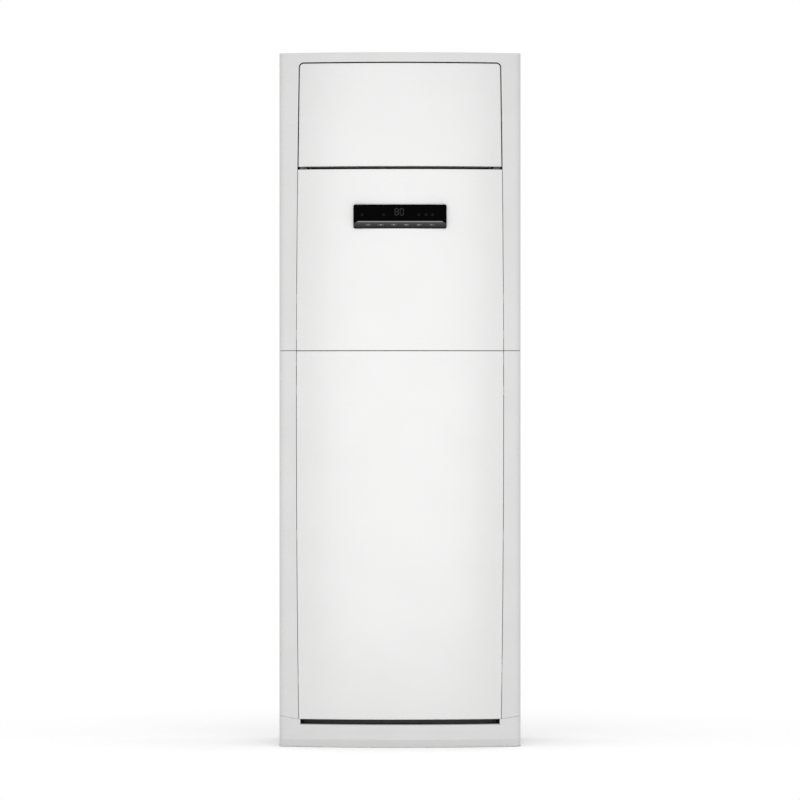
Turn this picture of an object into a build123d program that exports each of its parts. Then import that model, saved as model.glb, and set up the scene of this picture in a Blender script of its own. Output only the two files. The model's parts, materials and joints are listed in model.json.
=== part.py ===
from build123d import *
import os
from math import asin, atan, cos, degrees, pi, radians, sin, sqrt, tan

# Floor standing air conditioner, indoor column unit. Millimetres, +Z up.
# The front faces -Y and +X is to the right of someone facing it.
# The origin is on the floor, under the middle of the cabinet.

os.makedirs("parts", exist_ok=True)

# ---------------------------------------------------------------- driving sizes
width = 609.0
depth = 390.0
height = 1750.0

front_radius = 1150.0        # plan radius of the convex front
corner_radius = 18.0         # front corner between a cheek and its side
wall = 3.0                   # moulded front pieces
sheet = 1.2                  # painted steel sheets
seat_gap = 0.3               # between pieces that rest on each other
joint_gap = 1.5              # visible seam between upper and lower front pieces
display_proud = 7.5          # display block before the cheeks' face
bracket_sheet = 2.0

half_width = width / 2
display_front_y = -depth / 2
front_y = display_front_y + display_proud    # middle of the cheeks' curved face
rear_y = depth / 2 - bracket_sheet
front_centre_y = front_y + front_radius

cheek_width = 42.5           # width of a cheek where it is narrowest
side_gap = 1.3               # seam beside the two fixed front panels
panel_proud = 1.5            # fixed panels stand this far before the cheeks
panel_rim = 14.0             # depth of the edge turned back on the lower panel
seam_share = 0.571           # height of the seam, as a share of the whole height

lower_panel_bottom = 71.0
seam_z = seam_share * height
upper_bottom = seam_z + joint_gap / 2
lower_top = seam_z - joint_gap / 2
panel_edge = half_width - cheek_width        # widest half width between the cheeks
panel_edge_z = seam_z - 139.0                # height of that widest place
panel_edge_bow = 7.0         # how far the edge has come in at the top of the door opening

opening_top = height - 24.0
door_top = opening_top - 3.0
door_height = 260.0
door_bottom = door_top - door_height
door_wall = 2.5
door_rim = 8.0
door_gap = 2.5
door_recess = 4.0            # door face behind the face of the fixed panels
door_corner = 10.0
display_panel_top = door_bottom - 7.0
display_panel_rim = 12.0
display_panel_rib_z = seam_z + 173.0

cheek_back = front_y + 77.5  # where the moulded cheeks hand over to the steel sides
return_wall = 2.5            # inner wall of the cheeks, beside the panels
upper_return_back = front_y + 117.5
lower_return_back = front_y + 69.5

plinth_lip_z = 54.0          # foot of the rolled lip under the lower panel
lip_radius = 6.0
slot_depth = 34.0            # shadow slot between the plinth's ledge and the lower panel
plinth_shoulder_in = 70.3
plinth_shoulder_out = 78.0
lip_half_width = half_width - 53.5
toe_height = 20.0            # the plinth turns in below this height
toe_in = 8.0
floor_gap = 1.0

pan_sheet = 1.5
pan_height = 30.0
floor_hole_radius = 6.0
floor_hole_x = width - 149.0
floor_hole_y = depth - 150.0
floor_hole_centre_y = 20.0

flange = 22.0                # folded flange of a steel side
jog = 15.0                   # tongue of a steel side inside its cheek

edge_radius = ((opening_top - panel_edge_z) ** 2 + panel_edge_bow**2) / (2 * panel_edge_bow)


def front_at(x):
    """Y of the cheeks' curved face at a distance from the middle."""
    return front_centre_y - sqrt(front_radius**2 - x**2)


def edge_at(z):
    """Half the width between the cheeks at a height: their edges are shallow arcs."""
    return panel_edge - edge_radius + sqrt(edge_radius**2 - (z - panel_edge_z) ** 2)


def plan_face(inset, back):
    """Cabinet outline from above, drawn in by an inset at its front and sides."""
    side = half_width - inset
    radius = front_radius - inset
    shoulder_y = front_centre_y - sqrt(radius**2 - side**2)
    with BuildSketch() as plan:
        with BuildLine():
            front = ThreePointArc((-side, shoulder_y), (0, front_y + inset), (side, shoulder_y))
            Polyline(front @ 1, (side, back), (-side, back), front @ 0)
        make_face()
        corners = plan.vertices().group_by(Axis.Y)[0]
        fillet(corners, max(corner_radius - inset, 1.0))
    return plan.sketch


def cabinet_block(inset, z_low, z_high, back):
    """Solid cabinet between two heights, drawn in by an inset, cut off at a back plane."""
    with BuildPart() as block:
        with BuildSketch(Plane.XY.offset(z_low)):
            add(plan_face(inset, back))
        extrude(amount=z_high - z_low)
    return block.part


def window_block(z_low, z_high, grow, back, corner=0.0):
    """Solid as wide as the space between the cheeks, grown sideways, from the front to a back plane."""
    z_mid = (z_low + z_high) / 2
    low = edge_at(z_low) + grow
    mid = edge_at(z_mid) + grow
    high = edge_at(z_high) + grow
    with BuildPart() as block:
        with BuildSketch(Plane.XZ.offset(-back)) as outline:
            with BuildLine():
                right = ThreePointArc((low, z_low), (mid, z_mid), (high, z_high))
                left = ThreePointArc((-high, z_high), (-mid, z_mid), (-low, z_low))
                Line(right @ 1, left @ 0)
                Line(left @ 1, right @ 0)
            make_face()
            if corner > 0:
                fillet(outline.vertices().group_by(Axis.Y)[-1], corner)
        extrude(amount=depth)
    return block.part


def panel_block(inset, z_low, z_high, grow, back=0.0, corner=0.0):
    """Solid behind a front panel's outline: its face drawn in by an inset, its sides grown."""
    with BuildPart() as block:
        add(cabinet_block(inset, z_low, z_high, back))
        add(window_block(z_low, z_high, grow, back, corner), mode=Mode.INTERSECT)
    return block.part


def rimmed_panel(inset, thickness, rim, z_low, z_high, gap, corner=0.0):
    """Panel with its four edges turned back."""
    inner_corner = max(corner - thickness, 0.0)
    outer = panel_block(inset, z_low, z_high, -gap, 0.0, corner)
    hollow_low = z_low + thickness
    hollow_high = z_high - thickness
    hollow = panel_block(inset + thickness, hollow_low, hollow_high, -gap - thickness, 1.0, inner_corner)
    behind = cabinet_block(inset + rim, z_low - 1, z_high + 1, 1.0)
    with BuildPart() as panel:
        add(outer)
        add(hollow, mode=Mode.SUBTRACT)
        add(behind, mode=Mode.SUBTRACT)
    return panel.part


def side_clips(inset, clip_depth, z):
    """Pair of clips behind a panel's side edges that reach the walls between the cheeks."""
    half_height = 12.0
    reach = min(edge_at(z - half_height), edge_at(z + half_height)) - seat_gap
    root = reach - side_gap - wall / 2
    middle_y = front_at(reach) + inset + clip_depth / 2
    with BuildPart() as clips:
        with BuildSketch(Plane.XY.offset(z - half_height)):
            with Locations(*[(side * (reach + root) / 2, middle_y) for side in (-1, 1)]):
                Rectangle(reach - root, clip_depth)
        extrude(amount=2 * half_height)
    return clips.part


def round_front(panel, radius):
    """Round the edges of the face that looks forward, as the mould leaves them."""
    with BuildPart() as rounded:
        add(panel)
        face = rounded.faces().filter_by(GeomType.CYLINDER).sort_by(Axis.Y)[0]
        fillet(face.edges(), radius)
    return rounded.part


def save(solid, name):
    """Label a finished piece and write it under its name."""
    solid.label = name
    export_step(solid, f"parts/{name}.step")


# ---------------------------------------------------------------- front pieces
edge_round = 1.2
panel_outer = -panel_proud

lower_panel_z = (lower_panel_bottom, lower_top)
lower_plain = rimmed_panel(panel_outer, wall, panel_rim, *lower_panel_z, side_gap)
clip_inset = panel_outer + wall + 2.0
clip_depth = 7.0
clip_end = 99.0              # from an end of the lower panel to its clips there
lower_clip_z = (lower_panel_bottom + clip_end, (lower_panel_bottom + lower_top) / 2, lower_top - clip_end)
lower_clips = [side_clips(clip_inset, clip_depth, z) for z in lower_clip_z]
with BuildPart() as lower_panel:
    add(round_front(lower_plain, edge_round))
    add(lower_clips)
save(lower_panel.part, "lower_panel")

# The upper panel has edges turned back only where the door doesn't pass behind it.
display_half_width = 117.0
display_height = 60.0
display_top = display_panel_top - 89.5
display_bottom = display_top - display_height
display_corner = 4.0
display_gap = 0.4
display_centre_z = (display_bottom + display_top) / 2
display_skin = panel_block(panel_outer, upper_bottom, display_panel_top, -side_gap)
display_behind = cabinet_block(panel_outer + wall, upper_bottom - 1, display_panel_top + 1, 1.0)
display_rims = rimmed_panel(panel_outer, wall, display_panel_rim, upper_bottom, display_panel_rib_z, side_gap)
display_plain = display_skin - display_behind
display_clips = [side_clips(clip_inset, clip_depth, upper_bottom + up) for up in (40.0, 130.0)]
with BuildPart() as display_panel:
    add(round_front(display_plain, edge_round))
    add(display_rims)
    add(display_clips)
    with BuildSketch(Plane.XZ.offset(-front_y / 2)):
        with Locations((0, display_centre_z)):
            RectangleRounded(
                2 * (display_half_width + display_gap),
                display_height + 2 * display_gap,
                display_corner + display_gap,
            )
    extrude(amount=depth, mode=Mode.SUBTRACT)
save(display_panel.part, "display_panel")

door_outer = door_recess - panel_proud
door_plain = rimmed_panel(door_outer, door_wall, door_rim, door_bottom, door_top, door_gap, door_corner)
with BuildPart() as outlet_door:
    add(round_front(door_plain, edge_round))
save(outlet_door.part, "outlet_door")

# Frame round the door and the upper panel: top strip, cheeks and the walls behind their edges.
frame_ring = panel_block(0.0, upper_bottom, opening_top + return_wall, return_wall, upper_return_back)
frame_opening = window_block(upper_bottom - 1, opening_top, 0.0, 0.0, door_corner + door_gap)
with BuildPart() as upper_front_frame:
    add(cabinet_block(0.0, upper_bottom, height, cheek_back))
    add(cabinet_block(wall, upper_bottom - 1, height - wall, cheek_back + 1), mode=Mode.SUBTRACT)
    add(frame_ring)
    add(frame_opening, mode=Mode.SUBTRACT)
save(upper_front_frame.part, "upper_front_frame")


def lower_cheek(side):
    """Moulded corner column beside the lower panel; side is -1 at the left, +1 at the right."""
    shoulder_gap = 0.6
    inner_x = side * lip_half_width
    outer_x = side * half_width
    rise = (plinth_shoulder_out - plinth_shoulder_in) / (half_width - lip_half_width)
    beyond = 10.0
    ring = panel_block(0.0, toe_height, lower_top, return_wall, lower_return_back)
    opening = window_block(toe_height, lower_top + 1, 0.0, 0.0)
    with BuildPart() as cheek:
        add(cabinet_block(0.0, toe_height, lower_top, cheek_back))
        add(cabinet_block(wall, toe_height - 1, lower_top + 1, cheek_back + 1), mode=Mode.SUBTRACT)
        add(ring)
        add(opening, mode=Mode.SUBTRACT)
        with BuildSketch(Plane.XZ):
            with BuildLine():
                Polyline(
                    (inner_x - side * beyond, plinth_shoulder_in + shoulder_gap - rise * beyond),
                    (outer_x + side * beyond, plinth_shoulder_out + shoulder_gap + rise * beyond),
                    (outer_x + side * beyond, lower_top),
                    (inner_x - side * beyond, lower_top),
                    close=True,
                )
            make_face()
        extrude(amount=depth, mode=Mode.INTERSECT)
    return cheek.part


save(lower_cheek(-1), "lower_left_cheek")
save(lower_cheek(1), "lower_right_cheek")

# Plinth: the toe leans back to the floor, and a rolled lip leads into a slot under the panel.
lip_angle = degrees(asin(lip_half_width / front_radius))
slot_end_angle = degrees(asin((lip_half_width + wall) / front_radius))
ledge_z = plinth_lip_z + lip_radius
front_axis = Axis((0, front_centre_y, 0), (0, 0, 1))


def slot_trough():
    """Ledge and back wall of the slot before it is cut, seen from the side."""
    trough_depth = slot_depth + wall
    trough_height = plinth_shoulder_out - ledge_z + wall
    with BuildSketch() as profile:
        with Locations((front_y + trough_depth / 2, plinth_shoulder_out - trough_height / 2)):
            Rectangle(trough_depth, trough_height)
    return profile.sketch


def slot_opening():
    """What the rolled lip and the slot leave open over the plinth, seen from the side."""
    before_y = front_y - panel_proud
    above_z = plinth_shoulder_out + wall
    with BuildSketch() as profile:
        with BuildLine():
            roll = CenterArc((front_y + lip_radius, plinth_lip_z), lip_radius, 90, 90)
            Polyline(
                roll @ 1,
                (before_y, plinth_lip_z),
                (before_y, above_z),
                (front_y + slot_depth, above_z),
                (front_y + slot_depth, ledge_z),
                roll @ 0,
            )
        make_face()
    return profile.sketch


with BuildPart() as plinth:
    add(cabinet_block(0.0, toe_height, plinth_shoulder_out, cheek_back))
    with BuildSketch(Plane.XY.offset(toe_height)):
        add(plan_face(0.0, cheek_back))
    with BuildSketch(Plane.XY.offset(floor_gap)):
        with Locations((0, toe_in)):
            add(plan_face(0.0, cheek_back - toe_in))
    loft(ruled=True)
    add(cabinet_block(wall, toe_height, plinth_shoulder_out + 1, cheek_back + 1), mode=Mode.SUBTRACT)
    with BuildSketch(Plane.XY.offset(toe_height)):
        add(plan_face(wall, cheek_back + 1))
    with BuildSketch(Plane.XY.offset(floor_gap - 1)):
        with Locations((0, toe_in)):
            add(plan_face(wall, cheek_back + 1 - toe_in))
    loft(ruled=True, mode=Mode.SUBTRACT)
    for angle in (slot_end_angle, -slot_end_angle):
        with BuildSketch(Plane.YZ):
            add(slot_trough())
        revolve(axis=front_axis, revolution_arc=angle)
    with BuildSketch(Plane.XZ):
        with BuildLine():
            Polyline(
                (-half_width, 0),
                (half_width, 0),
                (half_width, plinth_shoulder_out),
                (lip_half_width, plinth_shoulder_in),
                (-lip_half_width, plinth_shoulder_in),
                (-half_width, plinth_shoulder_out),
                close=True,
            )
        make_face()
    extrude(amount=depth, mode=Mode.INTERSECT)
    for angle in (lip_angle, -lip_angle):
        with BuildSketch(Plane.YZ):
            add(slot_opening())
        revolve(axis=front_axis, revolution_arc=angle, mode=Mode.SUBTRACT)
save(plinth.part, "plinth")

# ---------------------------------------------------------------- base and steel cabinet
panel_side_y = cheek_back + seat_gap          # front edge of the visible steel side
sheet_x = half_width - sheet                  # inner face of a steel side
jog_x = half_width - wall - seat_gap          # outer face of the tongue inside a cheek
rear_flange_y = rear_y - sheet - seat_gap     # rear face of the side's folded flange
side_bottom = 3.0
cover_thickness = 3.0
side_top = height - cover_thickness - seat_gap
rear_split_z = seam_z - 99.0
screw_radius = 2.0
screw_hole = 2.2
screw_x = half_width - flange / 2 - sheet
lower_screw_z = (40.0, rear_split_z - 430.0, rear_split_z - 30.0)
upper_screw_z = (rear_split_z + 30.0, height - 430.0, height - 150.0)
bead_pitch = 170.0

grille_width = depth - 190.0
grille_low_z = 130.0
grille_height = seam_z - 249.0
grille_y = rear_y - 53.0 - grille_width / 2
grille_z = grille_low_z + grille_height / 2
grille_depth = 14.0
grille_border = 9.0
grille_fit = 0.3
slat_pitch = 18.0
slat_sheet = 1.8
slat_drop = 9.0
grille_face_x = half_width - 0.3

pipe_hole_radius = 42.0
pipe_hole_x = half_width - 71.5
pipe_hole_z = 185.0

# The pan stands inside the plinth and inside the tongues of the steel sides.
pan_inset = wall + sheet + 2 * seat_gap
with BuildPart() as base_pan:
    with BuildSketch():
        with Locations((0, toe_in + seat_gap)):
            add(plan_face(pan_inset, rear_flange_y - sheet - 2 * seat_gap - toe_in))
    extrude(amount=pan_height)
    with BuildSketch(Plane.XY.offset(pan_sheet)):
        with Locations((0, toe_in + seat_gap)):
            add(plan_face(pan_inset + pan_sheet, rear_flange_y - sheet - pan_sheet - toe_in - 1))
    extrude(amount=pan_height, mode=Mode.SUBTRACT)
    with BuildSketch():
        with Locations((0, floor_hole_centre_y)):
            with GridLocations(floor_hole_x, floor_hole_y, 2, 2):
                Circle(floor_hole_radius)
    extrude(amount=pan_sheet, mode=Mode.SUBTRACT)
save(base_pan.part, "base_pan")


def side_panel(side):
    """Folded steel side with the window for its intake grille."""
    sheet_mid_x = side * (half_width - sheet / 2)
    jog_mid_x = side * (jog_x - sheet / 2)
    step_x = side * (half_width + jog_x - sheet) / 2
    step_width = half_width - jog_x + sheet
    flange_mid_x = side * (half_width - flange / 2)
    length = rear_flange_y - panel_side_y
    with BuildPart() as panel:
        with BuildSketch(Plane.XY.offset(side_bottom)):
            with Locations((sheet_mid_x, panel_side_y + length / 2)):
                Rectangle(sheet, length)
            with Locations((step_x, panel_side_y + sheet / 2)):
                Rectangle(step_width, sheet)
            with Locations((jog_mid_x, panel_side_y + sheet - jog / 2)):
                Rectangle(sheet, jog)
            with Locations((flange_mid_x, rear_flange_y - sheet / 2)):
                Rectangle(flange, sheet)
        extrude(amount=side_top - side_bottom)
        with BuildSketch(Plane.YZ.offset(side * (half_width - flange / 2))):
            with Locations((grille_y, grille_z)):
                Rectangle(grille_width, grille_height)
        extrude(amount=side * flange, mode=Mode.SUBTRACT)
        with BuildSketch(Plane.XZ.offset(-rear_y)):
            with Locations(*[(side * screw_x, z) for z in lower_screw_z + upper_screw_z]):
                Circle(screw_hole)
        extrude(amount=flange, mode=Mode.SUBTRACT)
    return panel.part


save(side_panel(-1), "left_side_panel")
save(side_panel(1), "right_side_panel")


def intake_grille(side):
    """Grille that plugs into a side: a border, sloping slats and two stiffening bars."""
    outer_width = grille_width - 2 * grille_fit
    outer_height = grille_height - 2 * grille_fit
    inner_width = outer_width - 2 * grille_border
    inner_height = outer_height - 2 * grille_border
    slat_count = int(inner_height / slat_pitch)
    slat_run = grille_depth - 3
    with BuildPart() as grille:
        with BuildSketch(Plane.YZ.offset(side * grille_face_x)):
            with Locations((grille_y, grille_z)):
                Rectangle(outer_width, outer_height)
                Rectangle(inner_width, inner_height, mode=Mode.SUBTRACT)
        extrude(amount=-side * grille_depth)
        with BuildSketch(Plane.XZ.offset(-grille_y - inner_width / 2 - 1)):
            with Locations((side * (grille_face_x - 1), grille_z)):
                with GridLocations(1, slat_pitch, 1, slat_count):
                    Polygon(
                        (0, slat_drop / 2),
                        (0, slat_drop / 2 - slat_sheet),
                        (-side * slat_run, -slat_drop / 2 - slat_sheet),
                        (-side * slat_run, -slat_drop / 2),
                        align=None,
                    )
        extrude(amount=inner_width + 2)
        with BuildSketch(Plane.YZ.offset(side * (grille_face_x - grille_depth / 2))):
            with Locations((grille_y, grille_z)):
                with GridLocations(inner_width / 3, 1, 2, 1):
                    Rectangle(3, inner_height + 2)
        extrude(amount=-side * (grille_depth / 2))
    return grille.part


save(intake_grille(-1), "left_intake_grille")
save(intake_grille(1), "right_intake_grille")

filter_depth = 5.0
filter_frame = 10.0
filter_mesh = 0.8


def air_filter(side):
    """Washable filter clipped behind a grille: frame, cross ribs and a thin mesh."""
    outer_width = grille_width - 4 * grille_fit
    outer_height = grille_height - 4 * grille_fit
    inner_width = outer_width - 2 * filter_frame
    inner_height = outer_height - 2 * filter_frame
    face_x = grille_face_x - grille_depth - seat_gap
    rib_rows = 6
    with BuildPart() as cassette:
        with BuildSketch(Plane.YZ.offset(side * face_x)):
            with Locations((grille_y, grille_z)):
                Rectangle(outer_width, outer_height)
                Rectangle(inner_width, inner_height, mode=Mode.SUBTRACT)
                with GridLocations(1, outer_height / rib_rows, 1, rib_rows - 1):
                    Rectangle(inner_width + 2, 3)
                Rectangle(3, inner_height + 2)
        extrude(amount=-side * filter_depth)
        with BuildSketch(Plane.YZ.offset(side * (face_x - filter_depth / 2))):
            with Locations((grille_y, grille_z)):
                Rectangle(inner_width + 1, inner_height + 1)
        extrude(amount=-side * filter_mesh)
    return cassette.part


save(air_filter(-1), "left_filter")
save(air_filter(1), "right_filter")

# Top cover: a shallow lid that sits on the steel sides behind the moulded top strip.
cover_skirt = 12.0
with BuildPart() as top_cover:
    with BuildSketch(Plane.XY.offset(height - cover_thickness)):
        with Locations((0, (panel_side_y + rear_y) / 2)):
            Rectangle(width, rear_y - panel_side_y)
    extrude(amount=cover_thickness)
    edges_up = top_cover.edges().group_by(Axis.Z)[-1]
    fillet(edges_up, 1.0)
    skirt_y = (panel_side_y + sheet + rear_flange_y - sheet) / 2
    skirt_width = 2 * (sheet_x - seat_gap)
    skirt_length = rear_flange_y - panel_side_y - 2 * sheet - 2 * seat_gap
    with BuildSketch(Plane.XY.offset(height - cover_thickness - cover_skirt)):
        with Locations((0, skirt_y)):
            Rectangle(skirt_width, skirt_length)
            Rectangle(skirt_width - 2 * wall, skirt_length - 2 * wall, mode=Mode.SUBTRACT)
    extrude(amount=cover_skirt)
save(top_cover.part, "top_cover")

bead_depth = 0.5
bead_width = 16.0
rear_width = width - 4 * seat_gap


def rear_panel(z_low, z_high, bead_z, screw_z):
    """Steel back with pressed beads and screw holes."""
    with BuildPart() as panel:
        with BuildSketch(Plane.XZ.offset(-rear_y)):
            with Locations((0, (z_low + z_high) / 2)):
                Rectangle(rear_width, z_high - z_low)
            with Locations(*[(side * screw_x, z) for side in (-1, 1) for z in screw_z]):
                Circle(screw_hole, mode=Mode.SUBTRACT)
        extrude(amount=sheet)
        with BuildSketch(Plane.XZ.offset(-rear_y)):
            with Locations(*[(0, z) for z in bead_z]):
                SlotOverall(rear_width - 4 * flange, bead_width)
        extrude(amount=bead_depth, mode=Mode.SUBTRACT)
    return panel.part


# Plate for tying the cabinet to a wall, spot welded flat on the back near the top.
bracket_width = 160.0
bracket_height = 44.0
bracket_z = height - 60.0
bracket_corner = 6.0
tie_hole_radius = 4.5
tie_spacing = 120.0
bolt_end_room = 1.0          # hole in the steel back behind a tie hole, wider by this
with BuildPart() as wall_bracket:
    with BuildSketch(Plane.XZ.offset(-depth / 2)):
        with Locations((0, bracket_z)):
            RectangleRounded(bracket_width, bracket_height, bracket_corner)
            with GridLocations(tie_spacing, 1, 2, 1):
                Circle(tie_hole_radius, mode=Mode.SUBTRACT)
    extrude(amount=bracket_sheet)
save(wall_bracket.part, "wall_bracket")

upper_bead_z = [rear_split_z + bead_pitch * i for i in (1, 2, 3)]
upper_rear_plain = rear_panel(rear_split_z + seat_gap, side_top, upper_bead_z, upper_screw_z)
with BuildPart() as upper_rear_panel:
    add(upper_rear_plain)
    with BuildSketch(Plane.XZ.offset(-rear_y)):
        with Locations((0, bracket_z)):
            with GridLocations(tie_spacing, 1, 2, 1):
                Circle(tie_hole_radius + bolt_end_room)
    extrude(amount=sheet, mode=Mode.SUBTRACT)
save(upper_rear_panel.part, "upper_rear_panel")

lower_bead_z = [rear_split_z - bead_pitch * i for i in (1, 2, 3)]
lower_rear_plain = rear_panel(side_bottom, rear_split_z - seat_gap, lower_bead_z, lower_screw_z)
with BuildPart() as lower_rear_panel:
    add(lower_rear_plain)
    with BuildSketch(Plane.XZ.offset(-rear_y)):
        with Locations((pipe_hole_x, pipe_hole_z)):
            Circle(pipe_hole_radius)
    extrude(amount=sheet, mode=Mode.SUBTRACT)
save(lower_rear_panel.part, "lower_rear_panel")

# Rubber grommet in the pipe hole, with a groove that takes the steel edge.
grommet_bore = 36.0
grommet_lip = 3.0
grommet_half = 1.9
with BuildPart() as pipe_grommet:
    with BuildSketch(Plane.XY.offset(pipe_hole_z)):
        with BuildLine():
            neck_in = rear_y - sheet - seat_gap
            neck_out = rear_y + seat_gap
            neck_x = pipe_hole_x + pipe_hole_radius - seat_gap
            lip_x = pipe_hole_x + pipe_hole_radius + grommet_lip
            Polyline(
                (pipe_hole_x + grommet_bore, neck_in - grommet_half),
                (lip_x, neck_in - grommet_half),
                (lip_x, neck_in),
                (neck_x, neck_in),
                (neck_x, neck_out),
                (lip_x, neck_out),
                (lip_x, depth / 2),
                (pipe_hole_x + grommet_bore, depth / 2),
                close=True,
            )
        make_face()
    revolve(axis=Axis((pipe_hole_x, 0, pipe_hole_z), (0, 1, 0)), revolution_arc=360)
save(pipe_grommet.part, "pipe_grommet")

screw_head_radius = 4.0
screw_head = 1.7
screw_length = 7.0
rear_screw_points = [(side * screw_x, z) for side in (-1, 1) for z in lower_screw_z + upper_screw_z]
with BuildPart() as panel_screws:
    with BuildSketch(Plane.XZ.offset(-rear_y - screw_head)):
        with Locations(*rear_screw_points):
            Circle(screw_head_radius)
    extrude(amount=screw_head)
    with BuildSketch(Plane.XZ.offset(-rear_y)):
        with Locations(*rear_screw_points):
            Circle(screw_radius)
    extrude(amount=screw_length)
save(panel_screws.part, "panel_screws")

# Steel beam between the lower cheeks: it carries the electrical box.
beam_z = seam_z - 39.0
beam_height = 34.0
beam_y = cheek_back - 22.0
beam_depth = 20.0
beam_sheet = 2.0
beam_half = edge_at(beam_z + beam_height) - seat_gap
with BuildPart() as cross_beam:
    with BuildSketch(Plane.YZ.offset(-beam_half)):
        with Locations((beam_y, beam_z + beam_height / 2)):
            Rectangle(beam_depth, beam_height)
        with Locations((beam_y + beam_sheet, beam_z + beam_height / 2)):
            Rectangle(beam_depth, beam_height - 2 * beam_sheet, mode=Mode.SUBTRACT)
    extrude(amount=2 * beam_half)
save(cross_beam.part, "cross_beam")

# ---------------------------------------------------------------- display block
bevel_top_z = display_bottom + 18.5
bevel_back = 6.0
bevel_corner = 12.5          # the key bar's upper corners come in by this
bevel_side = 11.5            # height of its upright ends
fascia_rear_y = display_front_y + 16.5
fascia_wall = 3.0
fascia_inner_y = display_front_y + fascia_wall
fascia_edge_round = 0.8
tab_width = 8.0
tab_front_y = front_at(display_half_width + tab_width) - panel_proud + wall + seat_gap
tab_thickness = 1.6
board_width = 212.0
board_height = 38.0
board_thickness = 1.6
board_gap = 4.0              # behind the window, for the digits' block
board_room = 1.0
digits_width = 60.0
digits_height = 24.0
bevel_height = bevel_top_z - display_bottom
bevel_angle = degrees(atan(bevel_back / bevel_height))

key_count = 6
key_pitch = 32.0
key_width = 16.0
key_height = 5.0
key_rise = 0.7
key_corner = 1.2
key_edge_round = 0.3
key_gap = 0.3
key_travel = 0.8
key_stem = 3.0

# Plane of the sloping key bar: local x runs to the left, local y up the slope, normal outward.
bar_normal = (0, -cos(radians(bevel_angle)), -sin(radians(bevel_angle)))
bar_middle_y = display_front_y + bevel_back / 2
bar_middle_z = (display_bottom + bevel_top_z) / 2
key_points = [(key_pitch * (i - (key_count - 1) / 2), 0) for i in range(key_count)]
bar_plane = Plane(origin=(0, bar_middle_y, bar_middle_z), x_dir=(1, 0, 0), z_dir=bar_normal)
bar_end = display_half_width + 1
with BuildPart() as bar_cut:
    with BuildSketch(Plane.YZ.offset(-bar_end)):
        with BuildLine():
            Polyline(
                (display_front_y - 1, bevel_top_z),
                (display_front_y, bevel_top_z),
                (display_front_y + bevel_back, display_bottom),
                (display_front_y + bevel_back, display_bottom - 1),
                (display_front_y - 1, display_bottom - 1),
                close=True,
            )
        make_face()
    extrude(amount=2 * bar_end)
    with BuildSketch(Plane.XZ.offset(-fascia_rear_y)):
        with BuildLine():
            Polyline(
                (-bar_end, display_bottom - 1),
                (bar_end, display_bottom - 1),
                (bar_end, display_bottom + bevel_side),
                (display_half_width - bevel_corner, bevel_top_z),
                (bevel_corner - display_half_width, bevel_top_z),
                (-bar_end, display_bottom + bevel_side),
                close=True,
            )
        make_face()
    extrude(amount=2 * (fascia_rear_y - display_front_y), mode=Mode.INTERSECT)
with BuildPart() as display_fascia:
    with BuildSketch(Plane.XZ.offset(-fascia_rear_y)):
        with Locations((0, display_centre_z)):
            RectangleRounded(2 * display_half_width, display_height, display_corner)
    extrude(amount=fascia_rear_y - display_front_y)
    fillet(display_fascia.faces().sort_by(Axis.Y)[0].edges(), fascia_edge_round)
    add(bar_cut.part, mode=Mode.SUBTRACT)
    with BuildSketch(Plane.XZ.offset(-fascia_rear_y)):
        with Locations((0, (bevel_top_z + display_top) / 2)):
            Rectangle(board_width + board_room, board_height + board_room)
    extrude(amount=fascia_rear_y - fascia_inner_y, mode=Mode.SUBTRACT)
    with BuildSketch(bar_plane.offset(1)):
        with Locations(*key_points):
            Rectangle(key_width + 2 * key_gap, key_height + 2 * key_gap)
    extrude(amount=-1 - key_stem - key_travel - seat_gap, mode=Mode.SUBTRACT)
    with BuildSketch(Plane.XZ.offset(-tab_front_y)):
        with Locations((0, display_centre_z)):
            Rectangle(2 * (display_half_width + tab_width), display_height - 2 * display_corner)
            Rectangle(board_width + board_room, display_height, mode=Mode.SUBTRACT)
    extrude(amount=-tab_thickness)
save(display_fascia.part, "display_fascia")

with BuildPart() as display_board:
    with BuildSketch(Plane.XZ.offset(-fascia_inner_y - board_gap)):
        with Locations((0, (bevel_top_z + display_top) / 2)):
            Rectangle(board_width, board_height)
    extrude(amount=-board_thickness)
    with BuildSketch(Plane.XZ.offset(-fascia_inner_y - board_gap)):
        with Locations((0, (bevel_top_z + display_top) / 2)):
            Rectangle(digits_width, digits_height)
    extrude(amount=board_gap - seat_gap)
save(display_board.part, "display_board")

for index, (key_x, key_y) in enumerate(key_points):
    with BuildPart() as display_key:
        with BuildSketch(bar_plane.offset(key_rise)):
            with Locations((key_x, key_y)):
                RectangleRounded(key_width, key_height, key_corner)
        extrude(amount=-key_rise - key_stem)
        fillet(display_key.faces().sort_by(Axis.Y)[0].edges(), key_edge_round)
    save(display_key.part, f"key_{index + 1}")

# ---------------------------------------------------------------- outlet duct, louvers and vanes
duct_sheet = 3.0
duct_half = half_width - 75.5 # inner half width
duct_bottom = door_bottom + 3.0
duct_top = door_top - 3.0
duct_front = cheek_back - 2.0
duct_back = duct_front + 112.0
bulkhead_sheet = 3.0
bulkhead_bottom = duct_bottom - 26.0
bulkhead_top = duct_top + 12.0

pivot_radius = 2.0
pivot_fit = 0.06              # radial running clearance of pins in their holes
pin_clearance = 0.3           # radial clearance of link pins in the link bars

louver_count = 5
louver_pitch = 50.0
louver_chord = 44.0
louver_thickness = 3.2
louver_tip = 0.8
louver_y = duct_front + 27.0
louver_half = duct_half - 11.5
louver_low_z = (duct_bottom + duct_top) / 2 - louver_pitch * (louver_count - 1) / 2
louver_swing = 110.0
crank_radius = 14.0
crank_sheet = 2.5
crank_pin_radius = 1.5
crank_boss = 3.5
link_sheet = 2.5
link_half_width = 3.0
crank_drop = crank_radius * sin(radians(louver_swing / 2))
crank_back = crank_radius * cos(radians(louver_swing / 2))

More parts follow.
